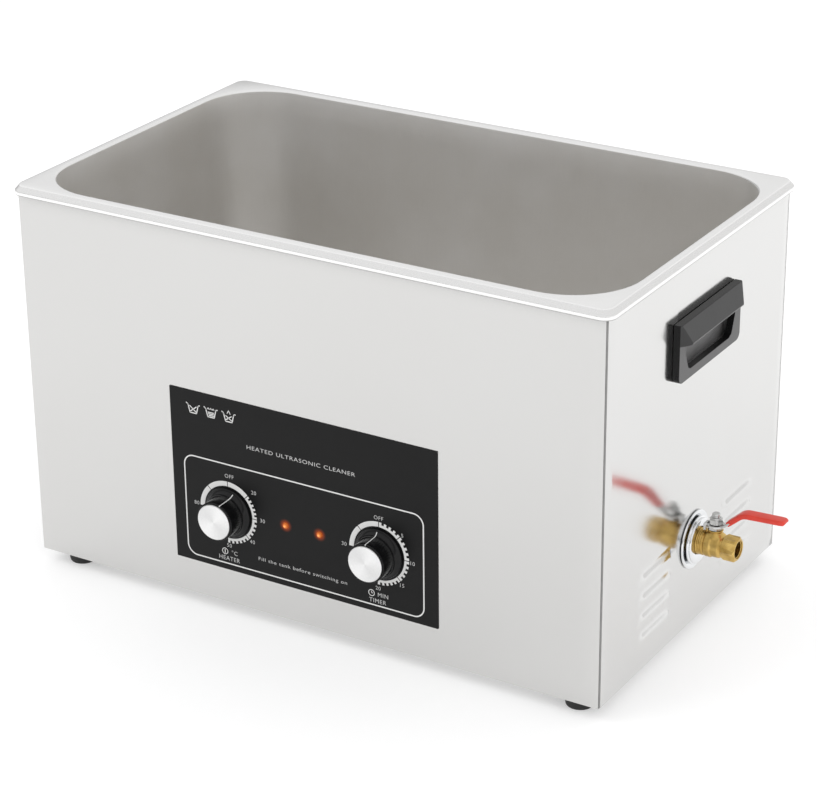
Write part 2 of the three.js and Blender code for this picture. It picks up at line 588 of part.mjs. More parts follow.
// The generator board stands on pegs over the base. Its switching transistors are bolted to the heat sink.
function makeGenerator() {
  const generator = group(cleaner, [20, 0, BASE.thick + GAP]);
  const [w, d, lift, thick] = [160, 100, 8, 1.6];
  const pegs = [[-1, -1], [1, -1], [-1, 1], [1, 1]].map(([i, j]) => {
    return rod(3, 0, lift + 1, 8).translate(i * (w / 2 - 6), j * (d / 2 - 6), 0);
  });
  piece('generator_board', join(box(w, d, thick, 0, 0, lift + thick / 2), ...pegs), board, generator);

  const deck = lift + thick + GAP;
  const [finCount, finPitch, finThick, sinkD, sinkH] = [9, 9, 2.5, 34, 34];
  const sinkW = (finCount - 1) * finPitch + finThick;
  const fins = Array.from({ length: finCount }, (_, i) => {
    return boxBetween([i * finPitch, 0, 0], [i * finPitch + finThick, sinkD, sinkH]);
  });
  const spine = boxBetween([0, 0, 0], [sinkW, sinkD, 5]);
  piece('heat_sink', join(spine, ...fins), aluminium, generator, [-14, 8, deck]);

  const core = box(38, 30, 34, 0, 0, 17);
  const windows = [-1, 1].map((side) => box(7, 40, 20, side * 10, 0, 17));
  const winding = box(30, 36, 18, 0, 0, 17);
  const transformer = join(cut(core, ...windows), winding);
  piece('output_transformer', transformer, ferrite, generator, [-52, 20, deck]);
}

// The fan blows out through the rear sheet's slots. y runs towards the sheet, from the fan's inner side.
function makeFan() {
  const { size, depth, bore, rotor, hub, blades } = FAN;
  const fan = group(cleaner, [FAN.x, BODY.d / 2 - SHEET - GAP - depth, FAN.z]);
  const body = frontal(withHoles(roundedRect(size, size, 5), [circle(bore, 0, 0, THREE.Path)]), 0, depth, 7);
  const carrier = alongY(rod(hub, 0, 4, 20));
  const struts = [0, 1, 2, 3].map((i) => {
    return boxBetween([hub - 2, 0, -2], [bore + 1.5, 4, 2]).rotateY(Math.PI / 4 + i * Math.PI / 2);
  });
  const bearing = alongY(rod(1.8, 1, 5, 8));
  piece('fan_frame', cut(join(body, carrier, ...struts), bearing), blackMatte, fan);

  const turning = group(fan, [0, 0, 0]);
  const pitchAngle = THREE.MathUtils.degToRad(38);
  const vanes = Array.from({ length: blades }, (_, i) => {
    const vane = boxBetween([hub - 1.5, -0.8, -11], [rotor - 1, 0.8, 11]).rotateX(pitchAngle);
    return vane.translate(0, 14, 0).rotateY((i * Math.PI * 2) / blades);
  });
  const cup = alongY(rod(hub, 5, depth - 1.5, 20));
  const pin = alongY(rod(1.4, 1.8, 6, 8));
  piece('fan_rotor', join(cup, pin, ...vanes), blackMatte, turning);
}

// The mains inlet with its fuse drawer. y runs out of the rear sheet from its face.
function makeInlet() {
  const inlet = group(cleaner, [INLET.x, BODY.d / 2, INLET.z]);
  const flange = frontal(roundedRect(INLET.w, INLET.h, 3), GAP, 2.8, 3);
  const [bodyHalf, bodyHigh] = [INLET.bodyW / 2, INLET.bodyH / 2];
  const casing = boxBetween([-bodyHalf, -INLET.depth, -bodyHigh], [bodyHalf, 1, bodyHigh]);
  const plugX = 9;
  const recess = frontal(roundedRect(24.6, 16.4, 2.5, plugX, 0), -15, 4, 3);
  const drawerX = -14.5;
  const drawerHole = boxBetween([drawerX - 4.7, -18, -9.7], [drawerX + 4.7, 4, 9.7]);
  const pins = [[-7, -1.5], [0, 2.5], [7, -1.5]].map(([x, z]) => box(2, 11, 4, plugX + x, -10, z));
  piece('mains_inlet', join(cut(join(flange, casing), recess, drawerHole), ...pins), blackGloss, inlet);

  const drawer = boxBetween([-4.4, -17.7, -9.4], [4.4, 2.9, 9.4]);
  const fingerLip = boxBetween([-4.4, 2.4, 5], [4.4, 4.2, 9.4]);
  const fuseWell = boxBetween([-2.9, -16, -7.5], [5, -2, 7.5]);
  piece('fuse_drawer', cut(join(drawer, fingerLip), fuseWell), blackGloss, inlet, [drawerX, 0, 0]);
}

// The mains switch. Its rocker turns on pins in the body, and rests with its upper end pressed in.
function makeSwitch() {
  const place = group(cleaner, [SWITCH.x, BODY.d / 2, SWITCH.z]);
  const { w, h, pivot } = SWITCH;
  const [wellW, wellH, rockerW] = [13.2, 22.8, 12.6];
  const flange = frontal(roundedRect(w, h, 2.5), GAP, 2.6, 3);
  const casing = boxBetween([3 / 2 - w / 2, -22, 3 / 2 - h / 2], [w / 2 - 3 / 2, 1, h / 2 - 3 / 2]);
  const well = boxBetween([-wellW / 2, -9, -wellH / 2], [wellW / 2, 4, wellH / 2]);
  const pinHole = alongX(rod(1.8, -wellW / 2 - 1.4, wellW / 2 + 1.4, 10)).translate(0, pivot, 0);
  piece('power_switch_body', cut(join(flange, casing), well, pinHole), blackGloss, place);

  const rocker = group(place, [0, pivot, 0], [SWITCH.tilt, 0, 0]);
  const outline = polygon([[-2.4, -9], [5.6, -9.8], [3.6, 0], [5.6, 9.8], [-2.4, 9]]);
  const paddle = sideways(outline, -rockerW / 2, rockerW / 2);
  const pin = alongX(rod(1.4, -rockerW / 2 - 1.2, rockerW / 2 + 1.2, 10));
  piece('power_switch_rocker', join(paddle, pin), blackGloss, rocker);
}

makeFrontPanel();
makeRearPanel();
makeSidePanel('right_panel', 1, [circle(VALVE.wallHole, 0, VALVE.z, THREE.Path)]);
makeSidePanel('left_panel', -1, []);
makeBase();
makeFeet();
makeTank();
makeOverlay();
makeDial('heater', 'thermostat', dialPlaces[0], [40, 34], 30);
makeDial('timer', 'timer', dialPlaces[1], [46, 46], 36);
makeLamps();
makeHandle('right', 1);
makeHandle('left', -1);
makeDrain();
makeValve();
makeTransducers();
makeHeaterPads();
makeGenerator();
makeFan();
makeInlet();
makeSwitch();

// Stand the object on z = 0 with the origin at the bottom centre of its box.
const bounds = new THREE.Box3().setFromObject(cleaner, true);
const middle = bounds.getCenter(new THREE.Vector3());
cleaner.position.set(-middle.x, -middle.y, -bounds.min.z);

const ultrasonicCleaner = new THREE.Group();
ultrasonicCleaner.add(cleaner);

export default ultrasonicCleaner;
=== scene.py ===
import math

import bmesh
import bpy
from mathutils import Matrix, Vector


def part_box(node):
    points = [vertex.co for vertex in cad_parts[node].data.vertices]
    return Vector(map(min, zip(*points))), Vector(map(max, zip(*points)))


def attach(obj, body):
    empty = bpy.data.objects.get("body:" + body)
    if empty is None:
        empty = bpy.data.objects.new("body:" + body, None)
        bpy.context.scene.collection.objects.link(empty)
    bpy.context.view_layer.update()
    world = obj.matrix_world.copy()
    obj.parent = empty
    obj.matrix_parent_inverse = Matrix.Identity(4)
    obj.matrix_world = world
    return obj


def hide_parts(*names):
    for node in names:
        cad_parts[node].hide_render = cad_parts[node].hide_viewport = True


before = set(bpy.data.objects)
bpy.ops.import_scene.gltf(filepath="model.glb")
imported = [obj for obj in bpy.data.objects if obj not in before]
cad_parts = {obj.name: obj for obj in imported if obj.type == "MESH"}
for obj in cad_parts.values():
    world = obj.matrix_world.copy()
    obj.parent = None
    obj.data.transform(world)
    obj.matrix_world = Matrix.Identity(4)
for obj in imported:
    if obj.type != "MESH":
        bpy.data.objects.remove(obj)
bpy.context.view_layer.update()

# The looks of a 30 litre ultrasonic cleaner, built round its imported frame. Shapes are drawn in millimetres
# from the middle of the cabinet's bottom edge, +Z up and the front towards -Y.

MM = 0.001
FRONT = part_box("front_panel")
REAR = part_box("rear_panel")
ORIGIN = Vector(((FRONT[0].x + FRONT[1].x) / 2, (FRONT[0].y + REAR[1].y) / 2, FRONT[0].z))
BODY_W = (FRONT[1].x - FRONT[0].x) / MM
BODY_D = (REAR[1].y - FRONT[0].y) / MM
BODY_H = (FRONT[1].z - FRONT[0].z) / MM
SHEET = (FRONT[1].y - FRONT[0].y) / MM


def span(node):
    """The lowest and highest corners of a CAD node, in millimetres from the cabinet's bottom edge."""
    low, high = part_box(node)
    return (low - ORIGIN) / MM, (high - ORIGIN) / MM


def middle(node):
    low, high = span(node)
    return (low + high) / 2


# ---- meshes ----


class Shape:
    """Corners and faces gathered in millimetres, in a frame of their own."""

    def __init__(self, corners=(), faces=()):
        self.corners, self.faces, self.finish = [], [], []
        self.add(corners, faces)

    def add(self, corners, faces, finish=0, place=None):
        start = len(self.corners)
        self.corners += [place @ Vector(c) if place else Vector(c) for c in corners]
        self.faces += [[start + i for i in face] for face in faces]
        self.finish += [finish] * len(faces)


def placed(position, x=(1, 0, 0), y=(0, 1, 0), z=(0, 0, 1)):
    """A matrix that puts a shape's own axes along x, y and z at a position."""
    return Matrix.Translation(position) @ Matrix((x, y, z)).transposed().to_4x4()


def face_down(position):
    """A place whose z points down."""
    return placed(position, (1, 0, 0), (0, -1, 0), (0, 0, -1))


def on_front(x, z):
    """A place on the front sheet: x to the right, y up, z out of the sheet."""
    return placed((x, -BODY_D / 2, z), (1, 0, 0), (0, 0, 1), (0, -1, 0))


def on_rear(x, z, out):
    """A place on the rear sheet: z out of the sheet and y up."""
    return placed((x, BODY_D / 2 + out, z), (-1, 0, 0), (0, 0, 1), (0, 1, 0))


def on_side(side):
    """The face of a side sheet, 1 for the right and -1 for the left: z out of the sheet and y up."""
    return placed((side * BODY_W / 2, 0, 0), (0, side, 0), (0, 0, 1), (side, 0, 0))


def build(name, shape, materials, body, slot, replaces=(), place=None, smooth=30):
    """Makes an object from a shape, smooth where its faces meet at less than an angle in degrees."""
    place = place or Matrix.Identity(4)
    points = [(place @ c) * MM + ORIGIN for c in shape.corners]
    mesh = bpy.data.meshes.new(name)
    mesh.from_pydata(points, [], shape.faces)
    for face, finish in zip(mesh.polygons, shape.finish):
        face.material_index = finish
    scratch = bmesh.new()
    scratch.from_mesh(mesh)
    bmesh.ops.remove_doubles(scratch, verts=scratch.verts, dist=0.002 * MM)
    bmesh.ops.recalc_face_normals(scratch, faces=scratch.faces)
    scratch.to_mesh(mesh)
    scratch.free()
    for material in materials if isinstance(materials, list) else [materials]:
        mesh.materials.append(material)
    piece = bpy.data.objects.new(name, mesh)
    bpy.context.scene.collection.objects.link(piece)
    shade(mesh, smooth)
    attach(piece, body)
    if replaces:
        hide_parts(*replaces)
    return piece


def turned(name, profile, segments, *build_values):
    """Builds a turned piece from its profile."""
    build(name, Shape(*lathe(profile, segments)), *build_values)


def modify(piece, kind, **values):
    modifier = piece.modifiers.new(kind.title(), kind)
    for key, value in values.items():
        setattr(modifier, key, value)


def ease_edges(piece, width):
    modify(piece, "BEVEL", width=width * MM, segments=2, limit_method="ANGLE", angle_limit=math.radians(50))


def shade(mesh, angle):
    mesh.shade_smooth()
    mesh.set_sharp_from_angle(angle=math.radians(angle))


def loft(rings, capped=False):
    """Faces between closed rings that each have the same number of points."""
    count = len(rings[0])
    corners = [point for ring in rings for point in ring]
    faces = []
    for i in range(len(rings) - 1):
        for j in range(count):
            k = (j + 1) % count
            faces.append([i * count + j, i * count + k, (i + 1) * count + k, (i + 1) * count + j])
    if capped:
        faces.append(list(range(count))[::-1])
        faces.append([(len(rings) - 1) * count + j for j in range(count)])
    return corners, faces


def lathe(profile, segments=96):
    """A turned shape about z. Profile points are [radius, height], and it may close on itself."""
    turns = [2 * math.pi * i / segments for i in range(segments)]
    rings = [[(radius * math.cos(a), radius * math.sin(a), z) for a in turns] for radius, z in profile]
    corners, faces = loft(rings)
    faces = [dedupe(face, corners) for face in faces]
    return corners, [face for face in faces if len(face) > 2]


def dedupe(face, corners):
    """A face without the repeated corners that lie on the axis."""
    seen = []
    found = []
    for index in face:
        key = tuple(round(v, 5) for v in corners[index])
        if key not in seen:
            seen.append(key)
            found.append(index)
    return found


def arc(centre, radius, start, end, steps):
    """Points on an arc, angles in degrees."""
    angles = [math.radians(start + (end - start) * i / steps) for i in range(steps + 1)]
    return [(centre[0] + radius * math.cos(a), centre[1] + radius * math.sin(a)) for a in angles]


def rounded_outline(half_w, half_h, radius, per_corner, per_width=1, per_height=1, centre=(0, 0)):
    """Points round a rectangle with rounded corners, anticlockwise from its lower right corner."""
    a, b = half_w - radius, half_h - radius
    corners = [((a, -b), 270), ((a, b), 0), ((-a, b), 90), ((-a, -b), 180)]
    counts = [per_height, per_width, per_height, per_width]
    points = []
    for i, ((x, y), start) in enumerate(corners):
        sweep = arc((x, y), radius, start, start + 90, per_corner)
        points += sweep
        following, angle = corners[(i + 1) % 4]
        target = arc(following, radius, angle, angle, 1)[0]
        for step in range(1, counts[i]):
            t = step / counts[i]
            points.append(tuple(sweep[-1][n] * (1 - t) + target[n] * t for n in (0, 1)))
    return [(x + centre[0], y + centre[1]) for x, y in points]


def hexagon(across):
    """Points of a hexagon with the given distance across its flats, several to each side."""
    per_side = 6
    tips = arc((0, 0), across / math.sqrt(3), 0, 300, 5)
    points = []
    for i, tip in enumerate(tips):
        following = tips[(i + 1) % 6]
        for step in range(per_side):
            t = step / per_side
            points.append((tip[0] * (1 - t) + following[0] * t, tip[1] * (1 - t) + following[1] * t))
    return points


def slab(outline, low, high, ease=0.0):
    """A plate of an outline between two heights, with both edges eased a little."""
    shrunk = inset(outline, ease)
    levels = [(outline, low), (outline, high)]
    if ease:
        levels = [(shrunk, low), (outline, low + ease), (outline, high - ease), (shrunk, high)]
    return loft([[(x, y, z) for x, y in points] for points, z in levels], capped=True)


def inset(outline, distance):
    """An outline moved inwards by a distance along its corners' normals. It runs anticlockwise."""
    moved = []
    count = len(outline)
    for i, point in enumerate(outline):
        here = Vector(point)
        before = here - Vector(outline[i - 1])
        after = Vector(outline[(i + 1) % count]) - here
        normal = Vector((-before.y, before.x)).normalized() + Vector((-after.y, after.x)).normalized()
        normal.normalize()
        moved.append(tuple(here + normal * distance))
    return moved


def hexagon_bevel(outline, across, height, towards, chamfer):
    """A hexagon's points, each moved along the axis by its distance past the flats."""
    flat, tip = across / 2, across / math.sqrt(3)
    return [(x, y, height + towards * chamfer * (math.hypot(x, y) - flat) / (tip - flat)) for x, y in outline]


def round_ring(outline, radius, height):
    """A circle with its points at an outline's angles."""
    turn = [math.atan2(y, x) for x, y in outline]
    return [(radius * math.cos(a), radius * math.sin(a), height) for a in turn]


def nut(across, low, high, bore, chamfer):
    """A hexagon nut about z with turned chamfers and a bore."""
    outline = hexagon(across)
    face = across / 2 * 0.97

    def face_ring(z):
        shares = [min(1, face / math.hypot(x, y)) for x, y in outline]
        return [(x * share, y * share, z) for (x, y), share in zip(outline, shares)]

    bottom, top = round_ring(outline, bore, low), round_ring(outline, bore, high)
    lower = hexagon_bevel(outline, across, low, 1, chamfer)
    upper = hexagon_bevel(outline, across, high, -1, chamfer)
    return loft([bottom, face_ring(low), lower, upper, face_ring(high), top, bottom])


# ---- materials ----


def add_node(tree, kind, inputs, **settings):
    """Adds a node. Each input, by name or number, is set to a value or linked to another socket."""
    made = tree.nodes.new(kind)
    for key, value in settings.items():
        setattr(made, key, value)
    for key, value in inputs.items():
        if isinstance(value, bpy.types.NodeSocket):
            tree.links.new(value, made.inputs[key])
        else:
            made.inputs[key].default_value = value
    return made


class Finish:
    """A Principled material, with short ways to add to its nodes."""

    def __init__(self, name, color, **values):
        self.material = bpy.data.materials.new(name)
        self.material.use_nodes = True
        self.tree = self.material.node_tree
        self.shader = self.tree.nodes["Principled BSDF"]
        self.shader.inputs["Base Color"].default_value = (*color, 1)
        for key, value in values.items():
            self.shader.inputs[key.replace("_", " ")].default_value = value
        self.color = color

    def node(self, kind, inputs, **settings):
        return add_node(self.tree, kind, inputs, **settings)

    def place(self, stretch=(1, 1, 1), shift=(0, 0, 0)):
        """Object coordinates in metres, stretched along each axis."""
        coordinates = self.node("ShaderNodeTexCoord", {}).outputs["Object"]
        inputs = {"Vector": coordinates, "Scale": stretch, "Location": shift}
        return self.node("ShaderNodeMapping", inputs).outputs["Vector"]

    def noise(self, scale, stretch=(1, 1, 1), detail=3.0, shift=(0, 0, 0)):
        inputs = {"Vector": self.place(stretch, shift), "Scale": scale, "Detail": detail, "Roughness": 0.55}
        return self.node("ShaderNodeTexNoise", inputs).outputs["Fac"]

    def span(self, value, low, high, source=(0.3, 0.7)):
        """A value spread from its own range to low and high."""
        inputs = {"Value": value, "From Min": source[0], "From Max": source[1], "To Min": low, "To Max": high}
        return self.node("ShaderNodeMapRange", inputs).outputs["Result"]

    def math(self, operation, a, b=0.0):
        return self.node("ShaderNodeMath", {0: a, 1: b}, operation=operation).outputs["Value"]

    def vector(self, operation, a, b=(0, 0, 0)):
        return self.node("ShaderNodeVectorMath", {0: a, 1: b}, operation=operation).outputs

    def blend(self, factor, dark, light):
        inputs = {0: factor, 6: (*dark, 1), 7: (*light, 1)}
        return self.node("ShaderNodeMix", inputs, data_type="RGBA").outputs[2]

    def vary_color(self, value, shade, tint=(1, 1, 1)):
        """Colour that runs from a shade of the base to the base itself by a 0 to 1 value."""
        dark = tuple(c * shade * t for c, t in zip(self.color, tint))
        self.join(self.blend(value, dark, self.color), "Base Color")

    def vary_rough(self, value, low, high):
        self.join(self.span(value, low, high), "Roughness")

    def wear(self, fine, cloud, share, rough, shade, tint=(1, 1, 1)):
        """Colour that follows the cloud, and roughness that follows a share of fine and the rest of cloud."""
        self.vary_color(self.span(cloud, 0, 1), shade, tint)
        mixed = self.math("ADD", self.math("MULTIPLY", fine, share), self.math("MULTIPLY", cloud, 1 - share))
        self.vary_rough(mixed, *rough)

    def bump(self, *heights):
        """Bumps from (height, depth in metres) pairs, each on top of the one before."""
        normal = None
        for height, depth in heights:
            inputs = {"Height": height, "Distance": depth, "Strength": 1.0}
            if normal:
                inputs["Normal"] = normal
            normal = self.node("ShaderNodeBump", inputs).outputs["Normal"]
        self.join(normal, "Normal")

    def join(self, source, socket):
        self.tree.links.new(source, self.shader.inputs[socket])


def sheet_steel(name, color, rough, wave=0.0006):
    """Cold rolled stainless: fine rolled grain along the sheet, faint smudges, and a slight waviness."""
    finish = Finish(name, color, Metallic=1.0)
    fine = finish.noise(900, (0.12, 0.12, 1), 4)
    smudge = finish.noise(4.5, detail=2, shift=(0.3, 0.1, 0.2))
    finish.wear(fine, smudge, 0.45, rough, 0.975, (1, 0.998, 0.995))
    finish.bump((finish.noise(3.2, detail=1), wave), (fine, 0.0000025))
    return finish.material


def drawn_steel():
    """The tank's basin: matt from drawing, with long marks down the wall and a faintly clouded tone."""
    finish = Finish("drawn_steel", (0.80, 0.79, 0.775), Metallic=1.0)
    marks = finish.noise(700, (1, 1, 0.06), 4)
    cloud = finish.noise(9, detail=4)
    finish.wear(marks, cloud, 0.6, (0.42, 0.54), 0.92, (1, 0.99, 0.97))
    finish.bump((cloud, 0.00012), (marks, 0.000003))
    return finish.material


def rim_steel(name, color, rough):
    """The polished rim, with fine lines along it and small handling marks."""
    finish = Finish(name, color, Metallic=1.0)
    lines = finish.noise(1200, (0.08, 0.08, 1))
    finish.wear(lines, finish.noise(60, detail=5), 0.7, rough, 0.985)
    finish.bump((lines, 0.000002))
    return finish.material


def brass(name, rough, dents, sand_depth):
    """Brass, dented and sandy where it is cast, and smoother where it is machined."""
    finish = Finish(name, (0.71, 0.49, 0.16), Metallic=1.0)
    sand = finish.noise(1500, detail=5)
    finish.wear(sand, finish.noise(120, detail=5), 0.4, rough, 0.60, (1, 0.90, 0.7))
    finish.bump((finish.noise(260), dents), (sand, sand_depth))
    return finish.material


def grained(name, color, rough, scales, share, shade, depth, detail=4, **values):
    """A skin with a fine grain and broader faint clouding. Scales are the noise scales of the two."""
    finish = Finish(name, color, **values)
    skin = finish.noise(scales[0], detail=detail)
    finish.wear(skin, finish.noise(scales[1], detail=4), share, rough, shade)
    finish.bump((skin, depth))
    return finish.material


def plain_metal(name, color, rough, scale=400, shade=0.9, depth=0.00001):
    return grained(name, color, rough, (scale * 4, scale / 4), 0.5, shade, depth, Metallic=1.0)


def moulded_black(name, color, rough, depth=0.00004, specular=0.4):
    """Satin black moulding with a spark eroded grain, greyer where it has been handled."""
    return grained(name, color, rough, (2600, 70), 0.4, 0.75, depth, 3, IOR=1.5, Specular_IOR_Level=specular)


def soft_plastic(name, color, rough, shade=0.82, depth=0.00003, specular=0.4):
    """A coloured moulding, dipped vinyl or rubber with fine grain and uneven tone."""
    return grained(name, color, rough, (1800, 110), 0.5, shade, depth, Specular_IOR_Level=specular)


def spun_aluminium(name, node):
    """A turned face: fine rings about the dial's axis, and bright and dim lobes by angle painted into its
    colour, a painted highlight for the light that the rings catch.
    """
    ring_pitch = 0.00028
    centre = (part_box(node)[0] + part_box(node)[1]) / 2
    finish = Finish(name, (0.90, 0.90, 0.898), Metallic=1.0, Anisotropic=0.75)
    tangent = finish.node("ShaderNodeTangent", {}, direction_type="RADIAL", axis="Y").outputs["Tangent"]
    finish.join(tangent, "Tangent")
    offset = finish.vector("SUBTRACT", finish.place(), centre)["Vector"]
    flat = finish.vector("MULTIPLY", offset, (1, 0, 1))["Vector"]
    radius = finish.vector("LENGTH", flat)["Value"]
    waves = finish.math("SINE", finish.math("MULTIPLY", radius, 2 * math.pi / ring_pitch))
    chatter = finish.noise(500, detail=4)
    rings = finish.math("ADD", finish.math("MULTIPLY", waves, 0.5), chatter)
    # Two bright and two dim lobes by angle: a painted highlight, mixed with random tone from the chatter.
    split = finish.node("ShaderNodeSeparateXYZ", {"Vector": offset})
    angle = finish.math("ARCTAN2", split.outputs["X"], split.outputs["Z"])
    sector_highlight = finish.math("SINE", finish.math("MULTIPLY", angle, 2.0))
    tone = finish.math("ADD", finish.math("MULTIPLY", sector_highlight, 0.5), chatter)
    finish.vary_color(finish.span(tone, 0, 1, (-0.1, 1.1)), 0.84)
    finish.vary_rough(chatter, 0.28, 0.36)
    finish.bump((rings, 0.0000012))
    return finish.material


def gloss_black():
    """The knobs: moulded black, glossy, with a faint orange peel and fine rub marks."""
    finish = Finish("knob_black", (0.006, 0.006, 0.0065), IOR=1.5, Specular_IOR_Level=0.26)
    rub = finish.noise(900, (1, 0.2, 1), 4)
    finish.vary_color(finish.span(finish.noise(200), 0, 1), 0.6)
    finish.vary_rough(rub, 0.12, 0.24)
    finish.bump((finish.noise(420, detail=2), 0.000012))
    return finish.material


def overlay_film(lamps):
    """The printed polycarbonate film: matt black, pebbled, with a painted red glow round each lamp."""
    finish = Finish("overlay_film", (0.007, 0.007, 0.0072), IOR=1.5, Specular_IOR_Level=0.17)
    pebble = finish.noise(3200)
    finish.wear(pebble, finish.noise(40, detail=4), 0.4, (0.30, 0.44), 0.8)
    finish.bump((pebble, 0.000012))
    # Emission on the film that fades with distance from each lamp: painted light from the lamps.
    glow = None
    for lamp in lamps:
        reach = finish.vector("DISTANCE", finish.place(), lamp)["Value"]
        near = finish.span(reach, 1, 0, (0.0022, 0.0066))
        soft = finish.math("POWER", near, 2.2)
        glow = finish.math("ADD", glow, soft) if glow else soft
    finish.shader.inputs["Emission Color"].default_value = (1.0, 0.15, 0.02, 1)
    finish.join(finish.math("MULTIPLY", glow, 0.42), "Emission Strength")
    return finish.material


def lamp_glow(name, centre):
    """A lit orange lens: hot in the middle and deep red at its rim."""
    finish = Finish(name, (0.42, 0.12, 0.02), Roughness=0.2, Specular_IOR_Level=0.3)
    reach = finish.vector("DISTANCE", finish.place(), centre)["Value"]
    hot = finish.math("POWER", finish.span(reach, 1, 0, (0.0, 0.0027)), 2.0)
    cells = finish.node("ShaderNodeTexVoronoi", {"Vector": finish.place(), "Scale": 2600}).outputs["Distance"]
    finish.join(finish.blend(hot, (0.55, 0.075, 0.008), (1.0, 0.47, 0.15)), "Emission Color")
    finish.join(finish.math("ADD", finish.math("MULTIPLY", hot, 1.15), 0.30), "Emission Strength")
    finish.vary_rough(cells, 0.15, 0.3)
    finish.bump((cells, 0.00002))
    return finish.material


def printed(name, color):
    """Screen printed ink, a little uneven in its density."""
    finish = Finish(name, color, Specular_IOR_Level=0.3)
    ink = finish.noise(5200, detail=4)
    finish.vary_color(finish.span(ink, 0, 1), 0.86)
    finish.vary_rough(ink, 0.4, 0.6)
    finish.bump((ink, 0.000008))
    return finish.material


def floor_finish():
    """A pale seamless paper floor, lit a little from behind as on a light table."""
    finish = Finish("studio_floor", (0.70, 0.70, 0.70), Roughness=0.9, Specular_IOR_Level=0.1)
    finish.shader.inputs["Emission Color"].default_value = (1, 1, 1, 1)
    finish.shader.inputs["Emission Strength"].default_value = 0.36
    fibre = finish.noise(300, detail=4)
    finish.vary_color(finish.span(fibre, 0, 1), 0.992)
    finish.bump((fibre, 0.00002))
    return finish.material


# ---- tank ----

TANK_WALL = 1.5
FLOOR_EDGE = 8.0
DRAIN_HOLE = 10.0
# Half widths, half depths and corner radii: inside the basin's floor and mouth, the rim's inner edge, its
# flat top's outer edge, and its lip.
BASIN_FLOOR = (250.0, 144.0, 50.0)
BASIN_MOUTH = (256.5, 150.3, 55.5)
RIM_MOUTH = (258.0, 151.9, 57.0)
RIM_FLAT = (263.5, 158.0, 8.5)
RIM_LIP = (267.0, 161.5, 10.5)
# The places of the tank's materials in its list. The rim's slope, edges and underside take darker and
# brighter copies of its one polished steel: painted shade on the slope, a painted highlight on the edges and
# a painted shadow under the lip.
BASIN, FLAT, SLOPE, EDGE, UNDER = range(5)


def grown(sizes, by):
    return tuple(size + by for size in sizes)


def between(first, second, share):
    return tuple(a + (b - a) * share for a, b in zip(first, second))


def tank_profile():
    """(sizes, height, finish) from the basin's floor, over the rim and down the outside."""
    top = span("tank")[1].z
    floor = span("tank")[0].z + TANK_WALL
    steps = []
    for x, z in arc((-FLOOR_EDGE, floor + FLOOR_EDGE), FLOOR_EDGE, 270, 360, 8):
        steps.append((grown(BASIN_FLOOR, x), z, BASIN))
    low, high = floor + FLOOR_EDGE, top - 2.4
    for share in (0.12, 0.3, 0.5, 0.7, 0.88, 1):
        steps.append((between(BASIN_FLOOR, BASIN_MOUTH, share), low + (high - low) * share, BASIN))
    for share, drop in ((0.12, 1.7), (0.32, 1.05), (0.6, 0.45), (0.85, 0.12), (1.0, 0.0)):
        steps.append((between(BASIN_MOUTH, RIM_MOUTH, share), top - drop, FLAT))

    def down(sizes, grow, drop, finish):
        steps.append((grown(sizes, grow), top - drop, finish))

    down(RIM_MOUTH, 0.5, 0, FLAT)
    down(RIM_FLAT, -0.9, 0, FLAT)
    # A brighter steel on the fold: a painted highlight line.
    for grow, drop in ((-0.35, 0.1), (0.1, 0.35), (0.5, 0.75)):
        down(RIM_FLAT, grow, drop, EDGE)
    # A darker steel down the slope: painted shade.
    down(RIM_FLAT, 0.7, 0.98, SLOPE)
    down(RIM_LIP, -0.75, 3.8, SLOPE)
    down(RIM_LIP, -0.45, 4.1, SLOPE)
    # A brighter steel round the lip's edge: a painted highlight.
    down(RIM_LIP, -0.15, 4.5, EDGE)
    down(RIM_LIP, 0, 5.0, EDGE)
    # A dark steel on the lip's underside: a painted shadow line beneath the lip.
    for grow, drop in ((0, 7.2), (-0.35, 8), (-1.0, 8)):
        down(RIM_LIP, grow, drop, UNDER)
    for sizes, grow, drop in ((RIM_LIP, -1.2, 7.7), (RIM_LIP, -1.2, 4.7), (RIM_FLAT, -1.2, TANK_WALL),
                              (BASIN_MOUTH, 2.2, TANK_WALL), (BASIN_MOUTH, TANK_WALL, 2.6)):
        down(sizes, grow, drop, BASIN)
    outer = FLOOR_EDGE + TANK_WALL
    for x, z in arc((TANK_WALL - outer, floor - TANK_WALL + outer), outer, 360, 270, 8):
        steps.append((grown(BASIN_FLOOR, x), z, BASIN))
    return steps


def make_tank():
    drain_x = middle("drain_outlet").x
    floor = span("tank")[0].z
    steps = tank_profile()
    rings = [[(x, y, z) for x, y in rounded_outline(*sizes, 12, 20, 12)] for sizes, z, _ in steps]

    def hole(ring, z):
        turns = [math.atan2(y, x - drain_x) for x, y, _ in ring]
        return [(drain_x + DRAIN_HOLE * math.cos(a), DRAIN_HOLE * math.sin(a), z) for a in turns]

    rings = [hole(rings[0], floor + TANK_WALL)] + rings + [hole(rings[-1], floor)]
    finishes = [BASIN] + [finish for _, _, finish in steps] + [BASIN]
    shape = Shape()
    for i in range(len(rings)):
        following = (i + 1) % len(rings)
        corners, faces = loft([rings[i], rings[following]])
        shape.add(corners, faces, min(finishes[i], finishes[following]))
    materials = [DRAWN, RIM, RIM_SLOPE_SHADE, RIM_EDGE_HIGHLIGHT, RIM_UNDER_SHADE]
    build("tank_shell", shape, materials, "cabinet", "tank_steel", ["tank"], smooth=32)


# ---- front and side sheets ----

# A group of louvres goes up from LOUVRE_FIRST, and the groups' middles are measured from the sheet's.
LOUVRE_ROWS = 4
LOUVRE_PITCH = 17.0
LOUVRE_FIRST = 27.0
LOUVRE_LENGTH = 55.0
LOUVRE_RISE = 9.0
LOUVRE_REACH = 3.0
LOUVRE_MIDDLES = (-67.5, 78.0)
SEAM = 0.6
SHEET_TOP = 316.0


